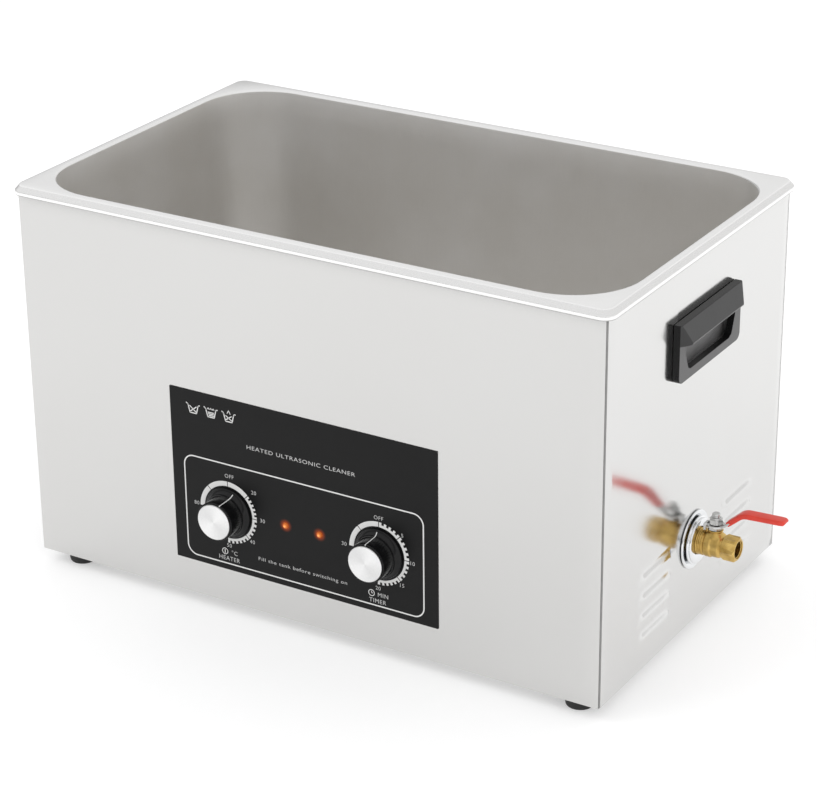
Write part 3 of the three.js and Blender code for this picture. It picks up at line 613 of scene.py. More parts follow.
def louvre_height(along, up):
    """How far a louvre stands out, by its place along its length (-1 to 1) and up its rise (0 to 1)."""
    if abs(along) >= 1 or not 0 <= up < 1:
        return 0.0
    ends = min(1, (1 - abs(along)) * LOUVRE_LENGTH / 2 / 7.0)
    ends = ends * ends * (3 - 2 * ends)
    slope = 0.5 + 0.5 * math.cos(math.pi * up)
    return LOUVRE_REACH * ends * slope


def spread(stops, longest):
    """Values through all the stops, with steps of at most a length between them."""
    stops = sorted(set(round(s, 4) for s in stops))
    values = []
    for low, high in zip(stops, stops[1:]):
        count = max(1, math.ceil((high - low) / longest))
        values += [low + (high - low) * i / count for i in range(count)]
    return values + [stops[-1]]


def in_hole(holes, u, v):
    return any(left < u < right and low < v < high for left, right, low, high in holes)


def finish_sheet(sheet, outwards, ease):
    """Turns a sheet's faces outwards, gives it its thickness behind them and eases its edges."""
    for face in sheet.data.polygons:
        if face.normal.dot(outwards) < -0.5:
            face.flip()
    modify(sheet, "SOLIDIFY", thickness=SHEET * MM, offset=-1, use_even_offset=True)
    ease_edges(sheet, ease)


def side_sheet(side, name, holes):
    """A side sheet, with its louvres lanced along their lower edges and pressed out."""
    low_y, high_y = -BODY_D / 2 + SHEET + 0.3, BODY_D / 2 - SHEET - 0.3
    half = LOUVRE_LENGTH / 2
    starts = [LOUVRE_FIRST + row * LOUVRE_PITCH for row in range(LOUVRE_ROWS)]
    across = {low_y + SEAM, high_y}
    for centre in LOUVRE_MIDDLES:
        for share in (-1, -0.94, -0.87, -0.8, -0.75, -0.4, 0, 0.4, 0.75, 0.8, 0.87, 0.94, 1):
            across.add(centre + share * half)
    ups = {0, SHEET_TOP}
    for start in starts:
        for share in (0, 0.12, 0.25, 0.38, 0.5, 0.62, 0.75, 0.88, 1):
            ups.add(start + share * LOUVRE_RISE)
    for left, right, bottom, top in holes:
        across.update((left, right))
        ups.update((bottom, top))
    ys = spread(across, 12)
    zs = spread(ups, 12)

    def louvre_at(y, z):
        for centre in LOUVRE_MIDDLES:
            for start in starts:
                height = louvre_height((y - centre) / half, (z - start) / LOUVRE_RISE)
                if height > 0:
                    return height
        return 0.0

    shape = Shape()
    below = {}
    above = {}
    for i, y in enumerate(ys):
        for j, z in enumerate(zs):
            height = louvre_at(y, z)
            below[i, j] = len(shape.corners)
            above[i, j] = below[i, j]
            shape.corners.append(Vector((side * y, z, 0 if z in starts else height)))
            if z in starts and height > 0:
                above[i, j] = len(shape.corners)
                shape.corners.append(Vector((side * y, z, height)))
    for i in range(len(ys) - 1):
        for j in range(len(zs) - 1):
            if not in_hole(holes, (ys[i] + ys[i + 1]) / 2, (zs[j] + zs[j + 1]) / 2):
                face = [above[i, j], above[i + 1, j], below[i + 1, j + 1], below[i, j + 1]]
                shape.faces.append(face if side > 0 else face[::-1])
                shape.finish.append(0)
    place = on_side(side)
    sheet = build(f"{name}_sheet", shape, SIDE_STEEL, "cabinet", "cabinet_steel", [name], place, 40)
    finish_sheet(sheet, Vector((side, 0, 0)), 0.22)


def make_side_sheets():
    end, edge, bore = 6.95, 2.7, 11
    low, high = span("right_handle_grip")
    handle = (low.y + end, high.y - end, low.z + edge, high.z - edge)
    drain = middle("wall_washer")
    valve = (drain.y - bore, drain.y + bore, drain.z - bore, drain.z + bore)
    side_sheet(1, "right_panel", [handle, valve])
    side_sheet(-1, "left_panel", [handle])


def make_front_sheet():
    """The front sheet stops short of the right corner, where its joint with the side sheet shows dark."""
    recess = 0.8
    half = BODY_W / 2
    holes = []
    for prefix in ("heater", "timer"):
        for node, reach in ((f"{prefix}_knob", 5), (f"{prefix}_lamp", 2.8)):
            spot = middle(node)
            holes.append((spot.x - reach, spot.x + reach, spot.z - reach, spot.z + reach))
    xs = spread({-half, half - recess} | {v for hole in holes for v in hole[:2]}, 16)
    zs = spread({0, SHEET_TOP} | {v for hole in holes for v in hole[2:]}, 16)
    faces = []
    for i in range(len(xs) - 1):
        for j in range(len(zs) - 1):
            if not in_hole(holes, (xs[i] + xs[i + 1]) / 2, (zs[j] + zs[j + 1]) / 2):
                a = i * len(zs) + j
                faces.append([a, a + len(zs), a + len(zs) + 1, a + 1])
    shape = Shape([(x, z, 0) for x in xs for z in zs], faces)
    place = on_front(0, 0)
    sheet = build("front_sheet", shape, FRONT_STEEL_SHADED, "cabinet", "cabinet_steel", ["front_panel"], place)
    finish_sheet(sheet, Vector((0, -1, 0)), 0.25)

    # A dark grey strip, a sealant in the joint's gap, coloured as painted shade for the shadowed recess
    # between the sheets.
    outline = rounded_outline(0.32, 1.0, 0.2, 3, centre=(half - recess + 0.36, 1.2 - BODY_D / 2))
    shape = Shape(*slab(outline, 0.5, SHEET_TOP - 1, 0.1))
    build("corner_joint", shape, JOINT, "cabinet", "cabinet_steel", (), None, 40)


# ---- carried-over CAD nodes ----


def dress(node, material, ease=0.3, smooth=30):
    """A CAD node with welded corners, eased edges and its material."""
    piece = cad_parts[node]
    mesh = piece.data
    if "custom_normal" in mesh.attributes:
        mesh.attributes.remove(mesh.attributes["custom_normal"])
    mesh.materials.clear()
    mesh.materials.append(material)
    for face in mesh.polygons:
        face.material_index = 0
    modify(piece, "WELD", merge_threshold=0.004 * MM)
    if ease:
        modify(piece, "DECIMATE", decimate_type="DISSOLVE", angle_limit=math.radians(0.8))
        modify(piece, "BEVEL", width=ease * MM, segments=3, limit_method="ANGLE",
               angle_limit=math.radians(smooth), harden_normals=True)
    mesh.shade_smooth()
    return piece


def dress_handle(side):
    """The grip is glossy black. Its faces that look out along x take lighter copies of the black, a painted
    sheen: the rail's flat faces a greyer one and the hood's slanted faces a satin one. The cup behind it is
    matt.
    """
    piece = dress(f"{side}_handle_grip", HANDLE, 0.9, 28)
    for finish in (RAIL_SHEEN, HOOD_SHEEN):
        piece.data.materials.append(finish)
    for face in piece.data.polygons:
        outward = abs(face.normal.x)
        if outward > 0.97:
            face.material_index = 1
        elif outward > 0.5:
            face.material_index = 2
    dress(f"{side}_handle_cup", CUP)


def dress_many(nodes, material, ease=0.3):
    for node in nodes:
        dress(node, material, ease)


# ---- dials and lamps ----

# Degrees clockwise from the top.
POINTER_AT = {"heater": 20.0, "timer": 0.0}


def knob_profile():
    """The knob's outline from the skirt's back to its front face, z out of the panel."""
    outline = [(20.2, 1.2), (20.9, 1.35), (21.2, 1.8), (21.2, 2.5), (20.9, 2.95), (20.2, 3.15)]
    for i in range(1, 11):
        t = i / 10
        outline.append((20.2 - 3.55 * (1 - (1 - t) ** 2.4), 3.15 + 5.6 * t ** 1.3))
    outline += [(16.45, 12.5), (16.35, 16.0)]
    return outline + arc((15.75, 19.8), 0.6, 0, 90, 5)


def make_knob(prefix):
    spot = middle(f"{prefix}_knob")
    place = on_front(spot.x, spot.z)
    body = f"{prefix}_dial"
    outline = knob_profile()
    back = [(3.3, 16.0), (3.3, 1.2), (5.2, 1.2), (5.2, 9), (13.8, 7), (18.6, 2.4), (19.0, 1.2)]
    face = [(15.5, 20.4), (15.3, 20.2), (15.3, 19.4), (0, 19.4)]
    profile = [(0, 16.0)] + back + outline + face
    turned(f"{prefix}_knob_body", profile, 128, KNOB, body, "knob_black", [f"{prefix}_knob"], place, 36)

    cap = [(0, 19.7), (14.9, 19.7), (15.0, 20.0), (15.0, 21.3), (14.75, 21.75), (14.3, 21.95), (13.7, 22.0)]
    steps = 9
    for i in range(1, steps + 1):
        cap.append((13.7 * (1 - i / steps), 22.0 - 0.05 * math.sin(math.pi * i / steps)))
    finish = spun_aluminium(f"{prefix}_cap_spun", f"{prefix}_knob_cap")
    turned(f"{prefix}_knob_disc", cap, 128, finish, body, "spun_aluminium", [f"{prefix}_knob_cap"], place, 36)

    angle = math.radians(POINTER_AT[prefix])
    across = Vector((math.cos(angle), -math.sin(angle), 0))
    away = Vector((math.sin(angle), math.cos(angle), 0))
    line = [p for p in outline if 20.3 > p[0]][2:] + [(15.45, 20.42)]
    rings = []
    for i, (radius, height) in enumerate(line):
        before, after = line[max(i - 1, 0)], line[min(i + 1, len(line) - 1)]
        run = Vector((after[0] - before[0], after[1] - before[1])).normalized()
        normal = Vector((run.y, -run.x))
        ring = []
        for offset, half in ((-0.15, 0.36), (0.06, 0.36), (0.06, -0.36), (-0.15, -0.36)):
            point = away * (radius + normal.x * offset) + across * half
            ring.append((point.x, point.y, height + normal.y * offset))
        rings.append(ring)
    shape = Shape(*loft(rings, capped=True))
    build(f"{prefix}_knob_pointer", shape, PRINT, body, "knob_black", (), place, 50)


def make_lamp(prefix):
    centre = middle(f"{prefix}_lamp")
    place = on_front(centre.x, centre.z)
    lens = [(0, -7.5), (2.2, -7.5), (2.2, 0.5), (2.5, 0.5), (2.5, 0.9)]
    for degrees in range(9, 91, 9):
        angle = math.radians(degrees)
        lens.append((2.5 * math.cos(angle), 0.9 + 1.7 * math.sin(angle)))
    centre.y = span(f"{prefix}_lamp")[0].y
    finish = lamp_glow(f"{prefix}_lamp_glow", centre * MM + ORIGIN)
    turned(f"{prefix}_lamp_lens", lens, 48, finish, "cabinet", "lamp_orange", [f"{prefix}_lamp"], place, 40)


# ---- what is printed on the overlay ----

# How far the ink stands out of the film, how far it reaches into it, and what turns the layout's lengths
# into millimetres on the overlay.
INK = 0.06
BELOW = -0.02
PRINT_SCALE = 1.0155


def ink_place():
    """The overlay's face, with x from the cabinet's middle, y up from its bottom edge, and z out."""
    face = span("control_overlay")[0].y
    return placed((0, face, 0), (1, 0, 0), (0, 0, 1), (0, -1, 0))


def print_piece(name, shape, ink=None):
    return build(name, shape, ink or PRINT, "cabinet", "overlay_film", (), ink_place(), 30)


def sector(shape, centre, inner, outer, start, end):
    """A part of a ring between two angles, clockwise in degrees from the top."""
    count = max(1, round((end - start) / 4))
    rings = []
    for i in range(count + 1):
        angle = math.radians(start + (end - start) * i / count)
        reach = (math.sin(angle), math.cos(angle))
        (x0, y0), (x1, y1) = [(centre[0] + r * reach[0], centre[1] + r * reach[1]) for r in (inner, outer)]
        rings.append([(x0, y0, BELOW), (x1, y1, BELOW), (x1, y1, INK), (x0, y0, INK)])
    shape.add(*loft(rings, capped=True))


def stroke(shape, points, width, centre):
    """A line of ink through points given from a centre."""
    points = [Vector((x + centre[0], y + centre[1])) for x, y in points]
    for a, b in zip(points, points[1:]):
        along = (b - a).normalized()
        side = Vector((-along.y, along.x)) * width / 2
        a, b = a - along * width * 0.25, b + along * width * 0.25
        outline = [tuple(a - side), tuple(b - side), tuple(b + side), tuple(a + side)]
        shape.add(*slab(outline, BELOW, INK))


def lettering(name, words):
    """Words as one raised mesh: (text, x, y, cap height, width) each. A width of 0 is as it comes."""
    shape = Shape()
    for text, x, y, height, width in words:
        curve = bpy.data.curves.new(name, "FONT")
        curve.body = text
        curve.size = height / 0.69 * MM
        curve.align_x = "CENTER"
        curve.align_y = "CENTER"
        curve.space_character = 1.12
        curve.extrude = INK / 2 * MM
        curve.offset = -0.006 * height * MM
        curve.resolution_u = 4
        item = bpy.data.objects.new(f"{name}_draft", curve)
        bpy.context.scene.collection.objects.link(item)
        bpy.context.view_layer.update()
        graph = bpy.context.evaluated_depsgraph_get()
        mesh = bpy.data.meshes.new_from_object(item.evaluated_get(graph))
        bpy.data.objects.remove(item)
        reach = [v.co.x / MM for v in mesh.vertices]
        stretch = width / (max(reach) - min(reach)) if width else 1.0
        corners = [(v.co.x / MM * stretch + x, v.co.y / MM + y, v.co.z / MM + INK / 2) for v in mesh.vertices]
        shape.add(corners, [list(face.vertices) for face in mesh.polygons])
        bpy.data.meshes.remove(mesh)
    print_piece(name, shape, PRINT_SOFT)


def dial_scale(prefix, solid, combs):
    """A dial's ring. solid holds (start, end) in degrees, and combs (start, end, teeth on the outer side)."""
    spot = middle(f"{prefix}_knob")
    centre = (spot.x, spot.z)
    inner, outer = 22.5 * PRINT_SCALE, 26.6 * PRINT_SCALE
    gap = 1.6
    shape = Shape()
    for start, end in solid:
        sector(shape, centre, inner, outer, start + gap / 2, end - gap / 2)
    root = inner + (outer - inner) * 0.5
    for start, end, teeth in combs:
        sector(shape, centre, inner, root, start + gap / 2, end - gap / 2)
        pitch = (end - start - gap) / (teeth - 0.5)
        for tooth in range(teeth):
            begin = start + gap / 2 + tooth * pitch
            sector(shape, centre, root - 0.01, outer, begin, begin + pitch * 0.5)
    print_piece(f"print_{prefix}_scale", shape)


def frame_line():
    """The rounded line round both dials."""
    half_w, low, high = 109.5 * PRINT_SCALE, 34.5 * PRINT_SCALE, 122.5 * PRINT_SCALE
    centre = (middle("control_overlay").x - 0.5, (low + high) / 2)
    outer = rounded_outline(half_w, (high - low) / 2, 9.5, 10, centre=centre)
    inner = inset(outer, 1.1)
    levels = [(outer, BELOW), (outer, INK), (inner, INK), (inner, BELOW), (outer, BELOW)]
    print_piece("print_frame_line", Shape(*loft([[(x, y, z) for x, y in line] for line, z in levels])))


def pictograms():
    """Three tubs with turned out rims: one crossed, one filled and steaming, one crossed with an arrow."""
    shape = Shape()
    tub = [(-6.4, 4.2), (-5.3, 3.6), (-4.6, 2.4), (-3.1, -3.6)]
    tub += [(3.1, -3.6), (4.6, 2.4), (5.3, 3.6), (6.4, 3.8)]
    first, second, third = [(x * PRINT_SCALE, 162.6 * PRINT_SCALE) for x in (-98.2, -81.5, -64.8)]
    for centre in (first, second, third):
        stroke(shape, tub, 0.85, centre)
    stroke(shape, [(-3.2, 2.2), (2.6, -2.4)], 0.8, first)
    stroke(shape, [(-2.6, -2.4), (3.2, 2.2)], 0.8, first)
    for level in (-2.2, -0.9, 0.4):
        stroke(shape, [(-2.6 - 0.25 * level, level), (2.6, level)], 0.8, second)
    for offset in (-2.4, 0, 2.4):
        stroke(shape, [(offset - 0.8, 3.0), (offset, 4.2), (offset + 0.8, 3.0)], 0.6, second)
    stroke(shape, [(-2.6, -2.2), (2.6, 1.4)], 0.8, third)
    stroke(shape, [(-2.8, 1.2), (2.6, -2.2)], 0.8, third)
    stroke(shape, [(-1.5, 3.2), (0, 6.0), (1.5, 3.2)], 0.6, third)
    print_piece("print_pictograms", shape)


def round_icons():
    """A thermometer's and a clock's ring beside the dials' words."""
    shape = Shape()
    warm = (-73.4 * PRINT_SCALE, 45.4 * PRINT_SCALE)
    clock = (62.3 * PRINT_SCALE, 45.0 * PRINT_SCALE)
    for centre in (warm, clock):
        sector(shape, centre, 2.6 - 0.275, 2.6 + 0.275, 0, 360)
    stroke(shape, [(0, -1.5), (0, 1.5)], 0.7, warm)
    stroke(shape, [(0, 1.5), (0, 0), (1.2, 0)], 0.55, clock)
    print_piece("print_round_icons", shape)


def make_prints():
    frame_line()
    dial_scale("heater", [(-90, -45), (-45, 0), (0, 45)], [(45, 90, 6), (90, 135, 5), (135, 184, 6)])
    dial_scale("timer", [(-90, -45), (-45, 0)], [(0, 45, 5), (45, 90, 5), (90, 135, 5), (135, 184, 6)])
    small = [
        ("OFF", -66.7, 111.8), ("20", -44.1, 103.1), ("30", -36.7, 80.8), ("40", -46.9, 59.9),
        ("50", -69.1, 51.1), ("80", -98.7, 81.6), ("OFF", 69.6, 110.2), ("5", 90.4, 100.7),
        ("10", 98.9, 79.3), ("15", 89.5, 58.2), ("20", 68.3, 50.2), ("30", 38.3, 80.7),
    ]
    large = [("°C", -64.4, 45.2), ("HEATER", -69.6, 39.4), ("MIN", 72.6, 44.6), ("TIMER", 67.7, 38.8)]
    words = []
    for size, labels in ((3.2, small), (3.6, large)):
        words += [(text, x * PRINT_SCALE, z * PRINT_SCALE, size, 0) for text, x, z in labels]
    lettering("print_labels", words)
    lettering("print_title", [("HEATED ULTRASONIC CLEANER", 0, 141.3 * PRINT_SCALE, 3.3, 100)])
    lettering("print_advice", [("Fill the tank before switching on", -0.7, 47.7, 3.0, 83)])
    pictograms()
    round_icons()


# ---- drain valve ----

# How far the stem is from the cabinet's side, the radii of the ball's chamber and of the bore, and the
# hexagon end's width across its flats.
STEM_AT = 18.5
CHAMBER = 8.9
BORE = 5.6
OUTLET = 17.8


def valve_axis():
    washer = middle("wall_washer")
    return washer.y, washer.z


def along_barrel():
    """The valve's barrel: z runs out of the cabinet's side from its face."""
    y, z = valve_axis()
    return placed((BODY_W / 2, y, z), (0, 1, 0), (0, 0, 1), (1, 0, 0))


def at_stem():
    """The valve's stem: z up from the barrel's axis, x out of the cabinet's side."""
    y, z = valve_axis()
    return placed((BODY_W / 2 + STEM_AT, y, z))


def stem_drill():
    """A rod that cuts the stem's bore through the casting."""
    rod = bmesh.new()
    low, high = 4.0, 15.0
    place = Matrix.Translation((at_stem() @ Vector((0, 0, (low + high) / 2))) * MM + ORIGIN)
    radius = 3.6 * MM
    bmesh.ops.create_cone(rod, cap_ends=True, segments=48, radius1=radius, radius2=radius,
                          depth=(high - low) * MM, matrix=place)
    mesh = bpy.data.meshes.new("stem_drill")
    rod.to_mesh(mesh)
    rod.free()
    drill = bpy.data.objects.new("stem_drill", mesh)
    bpy.context.scene.collection.objects.link(drill)
    return drill


def make_valve_casting():
    """The threaded barrel, the ball's chamber and the stem's boss, melted into one casting."""
    barrel = [(7.2, 1.5), (9.8, 0.4)]
    for i in range(7):
        x = 1.0 + i * 1.5
        barrel += [(10.1, x), (10.75, x + 0.45), (10.75, x + 0.75), (10.1, x + 1.2)]
    barrel += [(9.6, 11.7), (9.8, 12.1), (10.5, 12.5), (10.8, 13.0), (10.8, 17.3), (10.5, 17.8), (10.0, 18.0)]
    barrel += [(10.0, 23.8), (9.6, 24.8), (8.6, 25.6), (8.3, 26.6), (8.3, 27.4), (BORE, 27.4)]
    edge = math.degrees(math.acos(BORE / CHAMBER))
    barrel += arc((0, STEM_AT), CHAMBER, edge, -edge, 16) + [(BORE, 8.0), (7.2, 8.0), (7.2, 1.5)]
    boss = [(3.0, 8.7), (7.6, 5.6), (7.2, 8.6), (6.3, 9.8), (5.3, 10.6), (5.3, 11.8), (6.2, 12.2)]
    boss += [(6.2, 13.2), (5.9, 13.5), (3.0, 13.5), (3.0, 8.7)]
    shape = Shape()
    shape.add(*lathe(barrel), place=along_barrel())
    shape.add(*lathe(boss, 72), place=at_stem())
    body = build("valve_casting", shape, BRASS_CAST, "cabinet", "brass", (), None, 40)
    modify(body, "REMESH", mode="VOXEL", voxel_size=0.34 * MM, use_smooth_shade=True)
    modify(body, "SMOOTH", factor=0.5, iterations=5)
    drill = stem_drill()
    modify(body, "BOOLEAN", operation="DIFFERENCE", solver="EXACT", object=drill)
    graph = bpy.context.evaluated_depsgraph_get()
    mesh = bpy.data.meshes.new_from_object(body.evaluated_get(graph))
    body.modifiers.clear()
    body.data = mesh
    shade(mesh, 60)
    bpy.data.objects.remove(drill)


def make_valve_outlet():
    """The hexagon end, threaded inside."""
    outline = hexagon(OUTLET)
    inside = [(7.2, 38.2)]
    for i in range(6):
        x = 37.6 - i * 1.6
        inside += [(7.1, x), (6.5, x - 0.4), (6.5, x - 0.8), (7.1, x - 1.2)]
    outside = [hexagon_bevel(outline, OUTLET, 26.3, 1, 1.5), hexagon_bevel(outline, OUTLET, 38.0, -1, 0.8)]

    def turned_rings(profile):
        return [round_ring(outline, radius, height) for radius, height in profile]

    rings = turned_rings([(BORE, 26.2), (8.5, 26.2)]) + outside
    rings += turned_rings([(8.8, 38.3), (8.4, 38.5), (7.5, 38.5)] + inside + [(BORE, 27.8), (BORE, 26.2)])
    shape = Shape(*loft(rings))
    build("valve_outlet_hexagon", shape, BRASS, "cabinet", "brass", ["valve_body"], along_barrel(), 28)


def make_wall_rings():
    place = along_barrel()
    washer = [(11.2, 0.4), (22.9, 0.3), (23.6, 0.45), (24.0, 0.9), (24.0, 1.5), (23.7, 1.9), (23.0, 2.1)]
    washer += [(21.6, 1.95), (20.2, 1.5), (11.2, 1.5), (11.2, 0.4)]
    turned("wall_washer_ring", washer, 128, CHROME, "cabinet", "chrome", ["wall_washer"], place, 40)
    lock = [(11.0, 2.4), (17.8, 2.4), (19.1, 2.7), (19.7, 3.2), (19.8, 3.6), (19.6, 4.1), (18.9, 4.4)]
    lock += [(18.4, 4.7), (18.5, 5.1), (18.5, 5.6), (18.1, 6.1), (17.3, 6.4), (13.2, 6.3), (12.0, 5.8)]
    lock += [(11.4, 5.2), (11.0, 4.6), (11.0, 2.4)]
    turned("lock_nut_ring", lock, 128, CHROME, "cabinet", "chrome", ["lock_nut"], place, 40)


# The strap's underside over the barrel's axis and its thickness, then the middles of its bend and its tip,
# from the stem.
LEVER_LOW = 15.9
STRAP = 2.0
LEVER_TOP = LEVER_LOW + STRAP
LEVER_BEND = (23.5, 32.0)
LEVER_END = (55.5, 33.5)


def lever_line(start, end):
    """(point, normal) along the bent lever between two x values."""
    flat_end, low = 6.5, LEVER_LOW + STRAP / 2
    past_end = Vector(LEVER_END) + Vector((3.0, 0.14))
    knots = [Vector((-7.5, low)), Vector((flat_end, low)), Vector(LEVER_BEND), past_end]
    points = [knots[0]]
    for before, knot, after in zip(knots, knots[1:], knots[2:]):
        reach = 4.0
        enter = knot + (before - knot).normalized() * reach
        leave = knot + (after - knot).normalized() * reach
        for i in range(9):
            t = i / 8
            points.append(enter * (1 - t) ** 2 + knot * 2 * t * (1 - t) + leave * t ** 2)
    points.append(knots[-1])
    dense = []
    for a, b in zip(points, points[1:]):
        count = max(1, round((b - a).length / 1.2))
        dense += [a + (b - a) * i / count for i in range(count)]
    dense.append(points[-1])
    kept = [p for p in dense if start <= p.x <= end]
    if kept[0].x > start + 0.05:
        kept.insert(0, kept[0] + (kept[0] - kept[1]).normalized() * (kept[0].x - start))
    if kept[-1].x < end - 0.05:
        kept.append(kept[-1] + (kept[-1] - kept[-2]).normalized() * (end - kept[-1].x))
    found = []
    for i, point in enumerate(kept):
        along = (kept[min(i + 1, len(kept) - 1)] - kept[max(i - 1, 0)]).normalized()
        found.append((point, Vector((-along.y, along.x))))
    return found


def swept(line, half_width, half_thick, radius, per_corner):
    """A bar along a line, with rounded edges. Both halves are functions of x."""
    rings = []
    for point, normal in line:
        width, thick = half_width(point.x), half_thick(point.x)
        bend = min(radius, thick * 0.98, width * 0.98)
        ring = []
        for across, up in rounded_outline(width, thick, bend, per_corner):
            spot = point + normal * up
            ring.append((spot.x, across, spot.y))
        rings.append(ring)
    return loft(rings, capped=True)


def make_lever_strap():
    """The steel strap, its eye round the stem, and the stop tab folded down behind it."""
    tip = LEVER_END[0]

    def strap_half(x):
        if x > tip - 3:
            return 4.0 * math.sqrt(max(0.05, 1 - ((x - tip + 3) / 3.2) ** 2))
        return 4.0

    shape = Shape(*swept(lever_line(5.0, tip - 0.1), strap_half, lambda x: STRAP / 2, 0.4, 2))
    low, top = LEVER_LOW, LEVER_TOP
    head = [(3.6, low), (6.7, low), (7.0, low + 0.3), (7.0, top - 0.35), (6.7, top), (4.6, top)]
    head += [(3.9, top - 0.1), (3.6, top - 0.3), (3.6, low)]
    shape.add(*lathe(head, 72))
    tab = [(-9.3, 11.6), (-7.1, 11.6), (-7.1, low), (-5.0, low), (-5.0, top), (-8.2, top)]
    tab += [(-8.9, top - 0.3), (-9.3, top - 1.0)]
    shape.add(*loft([[(x, y, z) for x, z in tab] for y in (-3.0, 3.0)], capped=True))
    strap = build("lever_strap", shape, PLATED, "drain_lever", "lever_steel", ["valve_lever"], at_stem(), 32)
    ease_edges(strap, 0.18)


def make_lever_sleeve():
    """The red vinyl sleeve, which widens past the bend and rounds off at its end."""
    start, end = 10.6, 58.5

    def sleeve_half(x):
        grow = min(1, max(0, (x - start) / (LEVER_BEND[0] - start)))
        half = 3.9 + 1.4 * grow * grow * (3 - 2 * grow)
        if x > end - 6:
            half *= math.sqrt(max(0.0, 1 - ((x - end + 6) / 6.6) ** 2)) * 0.45 + 0.55
        return half

    def sleeve_thick(x):
        thick = 2.15 - 0.15 * min(1, max(0, (x - 24) / 30))
        if x > end - 1.6:
            thick *= math.sqrt(max(0.03, 1 - ((x - end + 1.6) / 1.65) ** 2))
        if x < start + 1:
            thick *= 0.86 + 0.14 * (x - start)
        return thick

    shape = Shape(*swept(lever_line(start, end), sleeve_half, sleeve_thick, 1.35, 5))
    build("lever_grip_sleeve", shape, RED, "drain_lever", "red_vinyl", ["lever_sleeve"], at_stem(), 50)


def make_stem():
    """The threaded stem with its tongue in the ball, the nut on top of the lever, and the gland nut."""
    stem = at_stem()
    low = LEVER_TOP + 0.3
    shape = Shape(*nut(10, low, low + 4.4, 3.4, 0.8))
    collar = [(3.4, low + 4.3), (4.35, low + 4.3), (4.35, low + 5.1), (4.0, low + 5.5), (3.6, low + 5.5)]
    collar += [(3.4, low + 5.3), (3.4, low + 4.3)]
    shape.add(*lathe(collar, 48))
    build("lever_lock_nut", shape, PLATED, "drain_lever", "lever_steel", ["lever_nut"], stem, 28)

    top = span("valve_stem")[1].z - valve_axis()[1]
    thread = [(0, 8.7), (3.0, 8.7), (3.3, 9.2), (3.3, 14)]
    height = 14.0
    while height < top - 1.4:
        thread += [(3.3, height + 0.25), (2.95, height + 0.5), (3.3, height + 0.75)]
        height += 0.8
    thread += [(3.3, top - 0.7), (2.7, top), (0, top)]
    shape = Shape(*lathe(thread, 48))
    shape.add(*slab(rounded_outline(3.0, 1.2, 0.3, 2), 6.9, 9.0))
    build("valve_stem_threaded", shape, PLATED, "drain_lever", "lever_steel", ["valve_stem"], stem, 35)

    gland = middle("packing_nut").z - valve_axis()[1]
    shape = Shape(*nut(11, gland - 0.9, gland + 0.9, 3.6, 0.35))
    build("gland_nut", shape, PLATED, "cabinet", "lever_steel", ["packing_nut"], stem, 28)


# ---- feet, drain fitting and screws ----


def make_feet():
    for node in ("foot_front_left", "foot_front_right", "foot_rear_left", "foot_rear_right"):
        low, high = span(node)
        height = high.z - low.z
        pad = [(2.4, height), (2.4, height / 2), (6.0, height / 2), (6.2, height / 2 - 0.4)]
        pad += [(6.2, 0.5), (6.6, 0), (10.0, 0), (10.6, 0.15), (11.0, 0.7), (11.3, 2.0)]
        pad += [(12.6, height - 1.6), (12.85, height - 0.8), (12.8, height - 0.2), (12.4, height)]
        pad.append(pad[0])
        place = placed(((low.x + high.x) / 2, (low.y + high.y) / 2, low.z))
        turned(f"{node}_pad", pad, 72, RUBBER, "cabinet", "rubber", [node], place, 35)
        screw = Shape()
        screw.add(*pan_screw(4.6, 2.4), place=face_down((0, 0, height / 2)))
        build(f"{node}_screw", screw, PLATED, "cabinet", "lever_steel", (), place, 30)


def pan_screw(radius, height):
    """A pan head screw with a cross slot, z out of its seat."""
    rim = [(radius, 0), (radius, height * 0.35)]
    rim += arc((radius - height * 0.6, height * 0.35), height * 0.6, 8, 90, 5)
    top = rim[-1][1]
    corners, faces = lathe([(0, 0)] + rim + [(radius * 0.55, top + 0.05), (radius * 0.5, top), (0, top)], 32)
    arm, half = radius * 0.52, radius * 0.11
    for turn in (45, 135):
        c, s = math.cos(math.radians(turn)), math.sin(math.radians(turn))
        start = len(corners)
        outline = [(-arm, -half), (arm, -half), (arm, half), (-arm, half)]
        ring = [(x * c - y * s, x * s + y * c) for x, y in outline]
        corners += [(x, y, top + 0.02) for x, y in ring] + [(x * 0.9, y * 0.9, top + 0.10) for x, y in ring]
        for i in range(4):
            k = (i + 1) % 4
            faces.append([start + i, start + k, start + 4 + k, start + 4 + i])
        faces.append([start + 4 + i for i in range(4)])
        faces.append([start + 3 - i for i in range(4)])
    return corners, faces


def screws(name, radius, height, places):
    shape = Shape()
    for place in places:
        shape.add(*pan_screw(radius, height), place=place)
    build(name, shape, PLATED, "cabinet", "lever_steel", (), None, 30)


def make_screws():
    proud = 0.02
    edge = BODY_W / 2 - 7.5
    fan_pitch, base_pitch, base_edge = 35.7, 170, 28
    spots = [(x, z) for x in (-edge, -BODY_W / 6, BODY_W / 6, edge) for z in (12, BODY_H - 16)]
    spots += [(-edge, BODY_H / 2), (edge, BODY_H / 2)]
    screws("rear_sheet_screws", 3.6, 1.9, [on_rear(x, z, proud) for x, z in spots])

    fan = middle("fan_frame")
    corners = [(fan.x + i * fan_pitch, fan.z + j * fan_pitch) for i in (-1, 1) for j in (-1, 1)]
    screws("fan_screws", 3.2, 1.8, [on_rear(x, z, proud) for x, z in corners])

    base = middle("base_plate").x
    seat = span("base_plate")[0].z - proud
    deep = BODY_D / 2 - base_edge
    spots = [(base + i * base_pitch, j * deep, seat) for i in (-1, 0, 1) for j in (-1, 1)]
    screws("base_screws", 3.4, 1.8, [face_down(spot) for spot in spots])


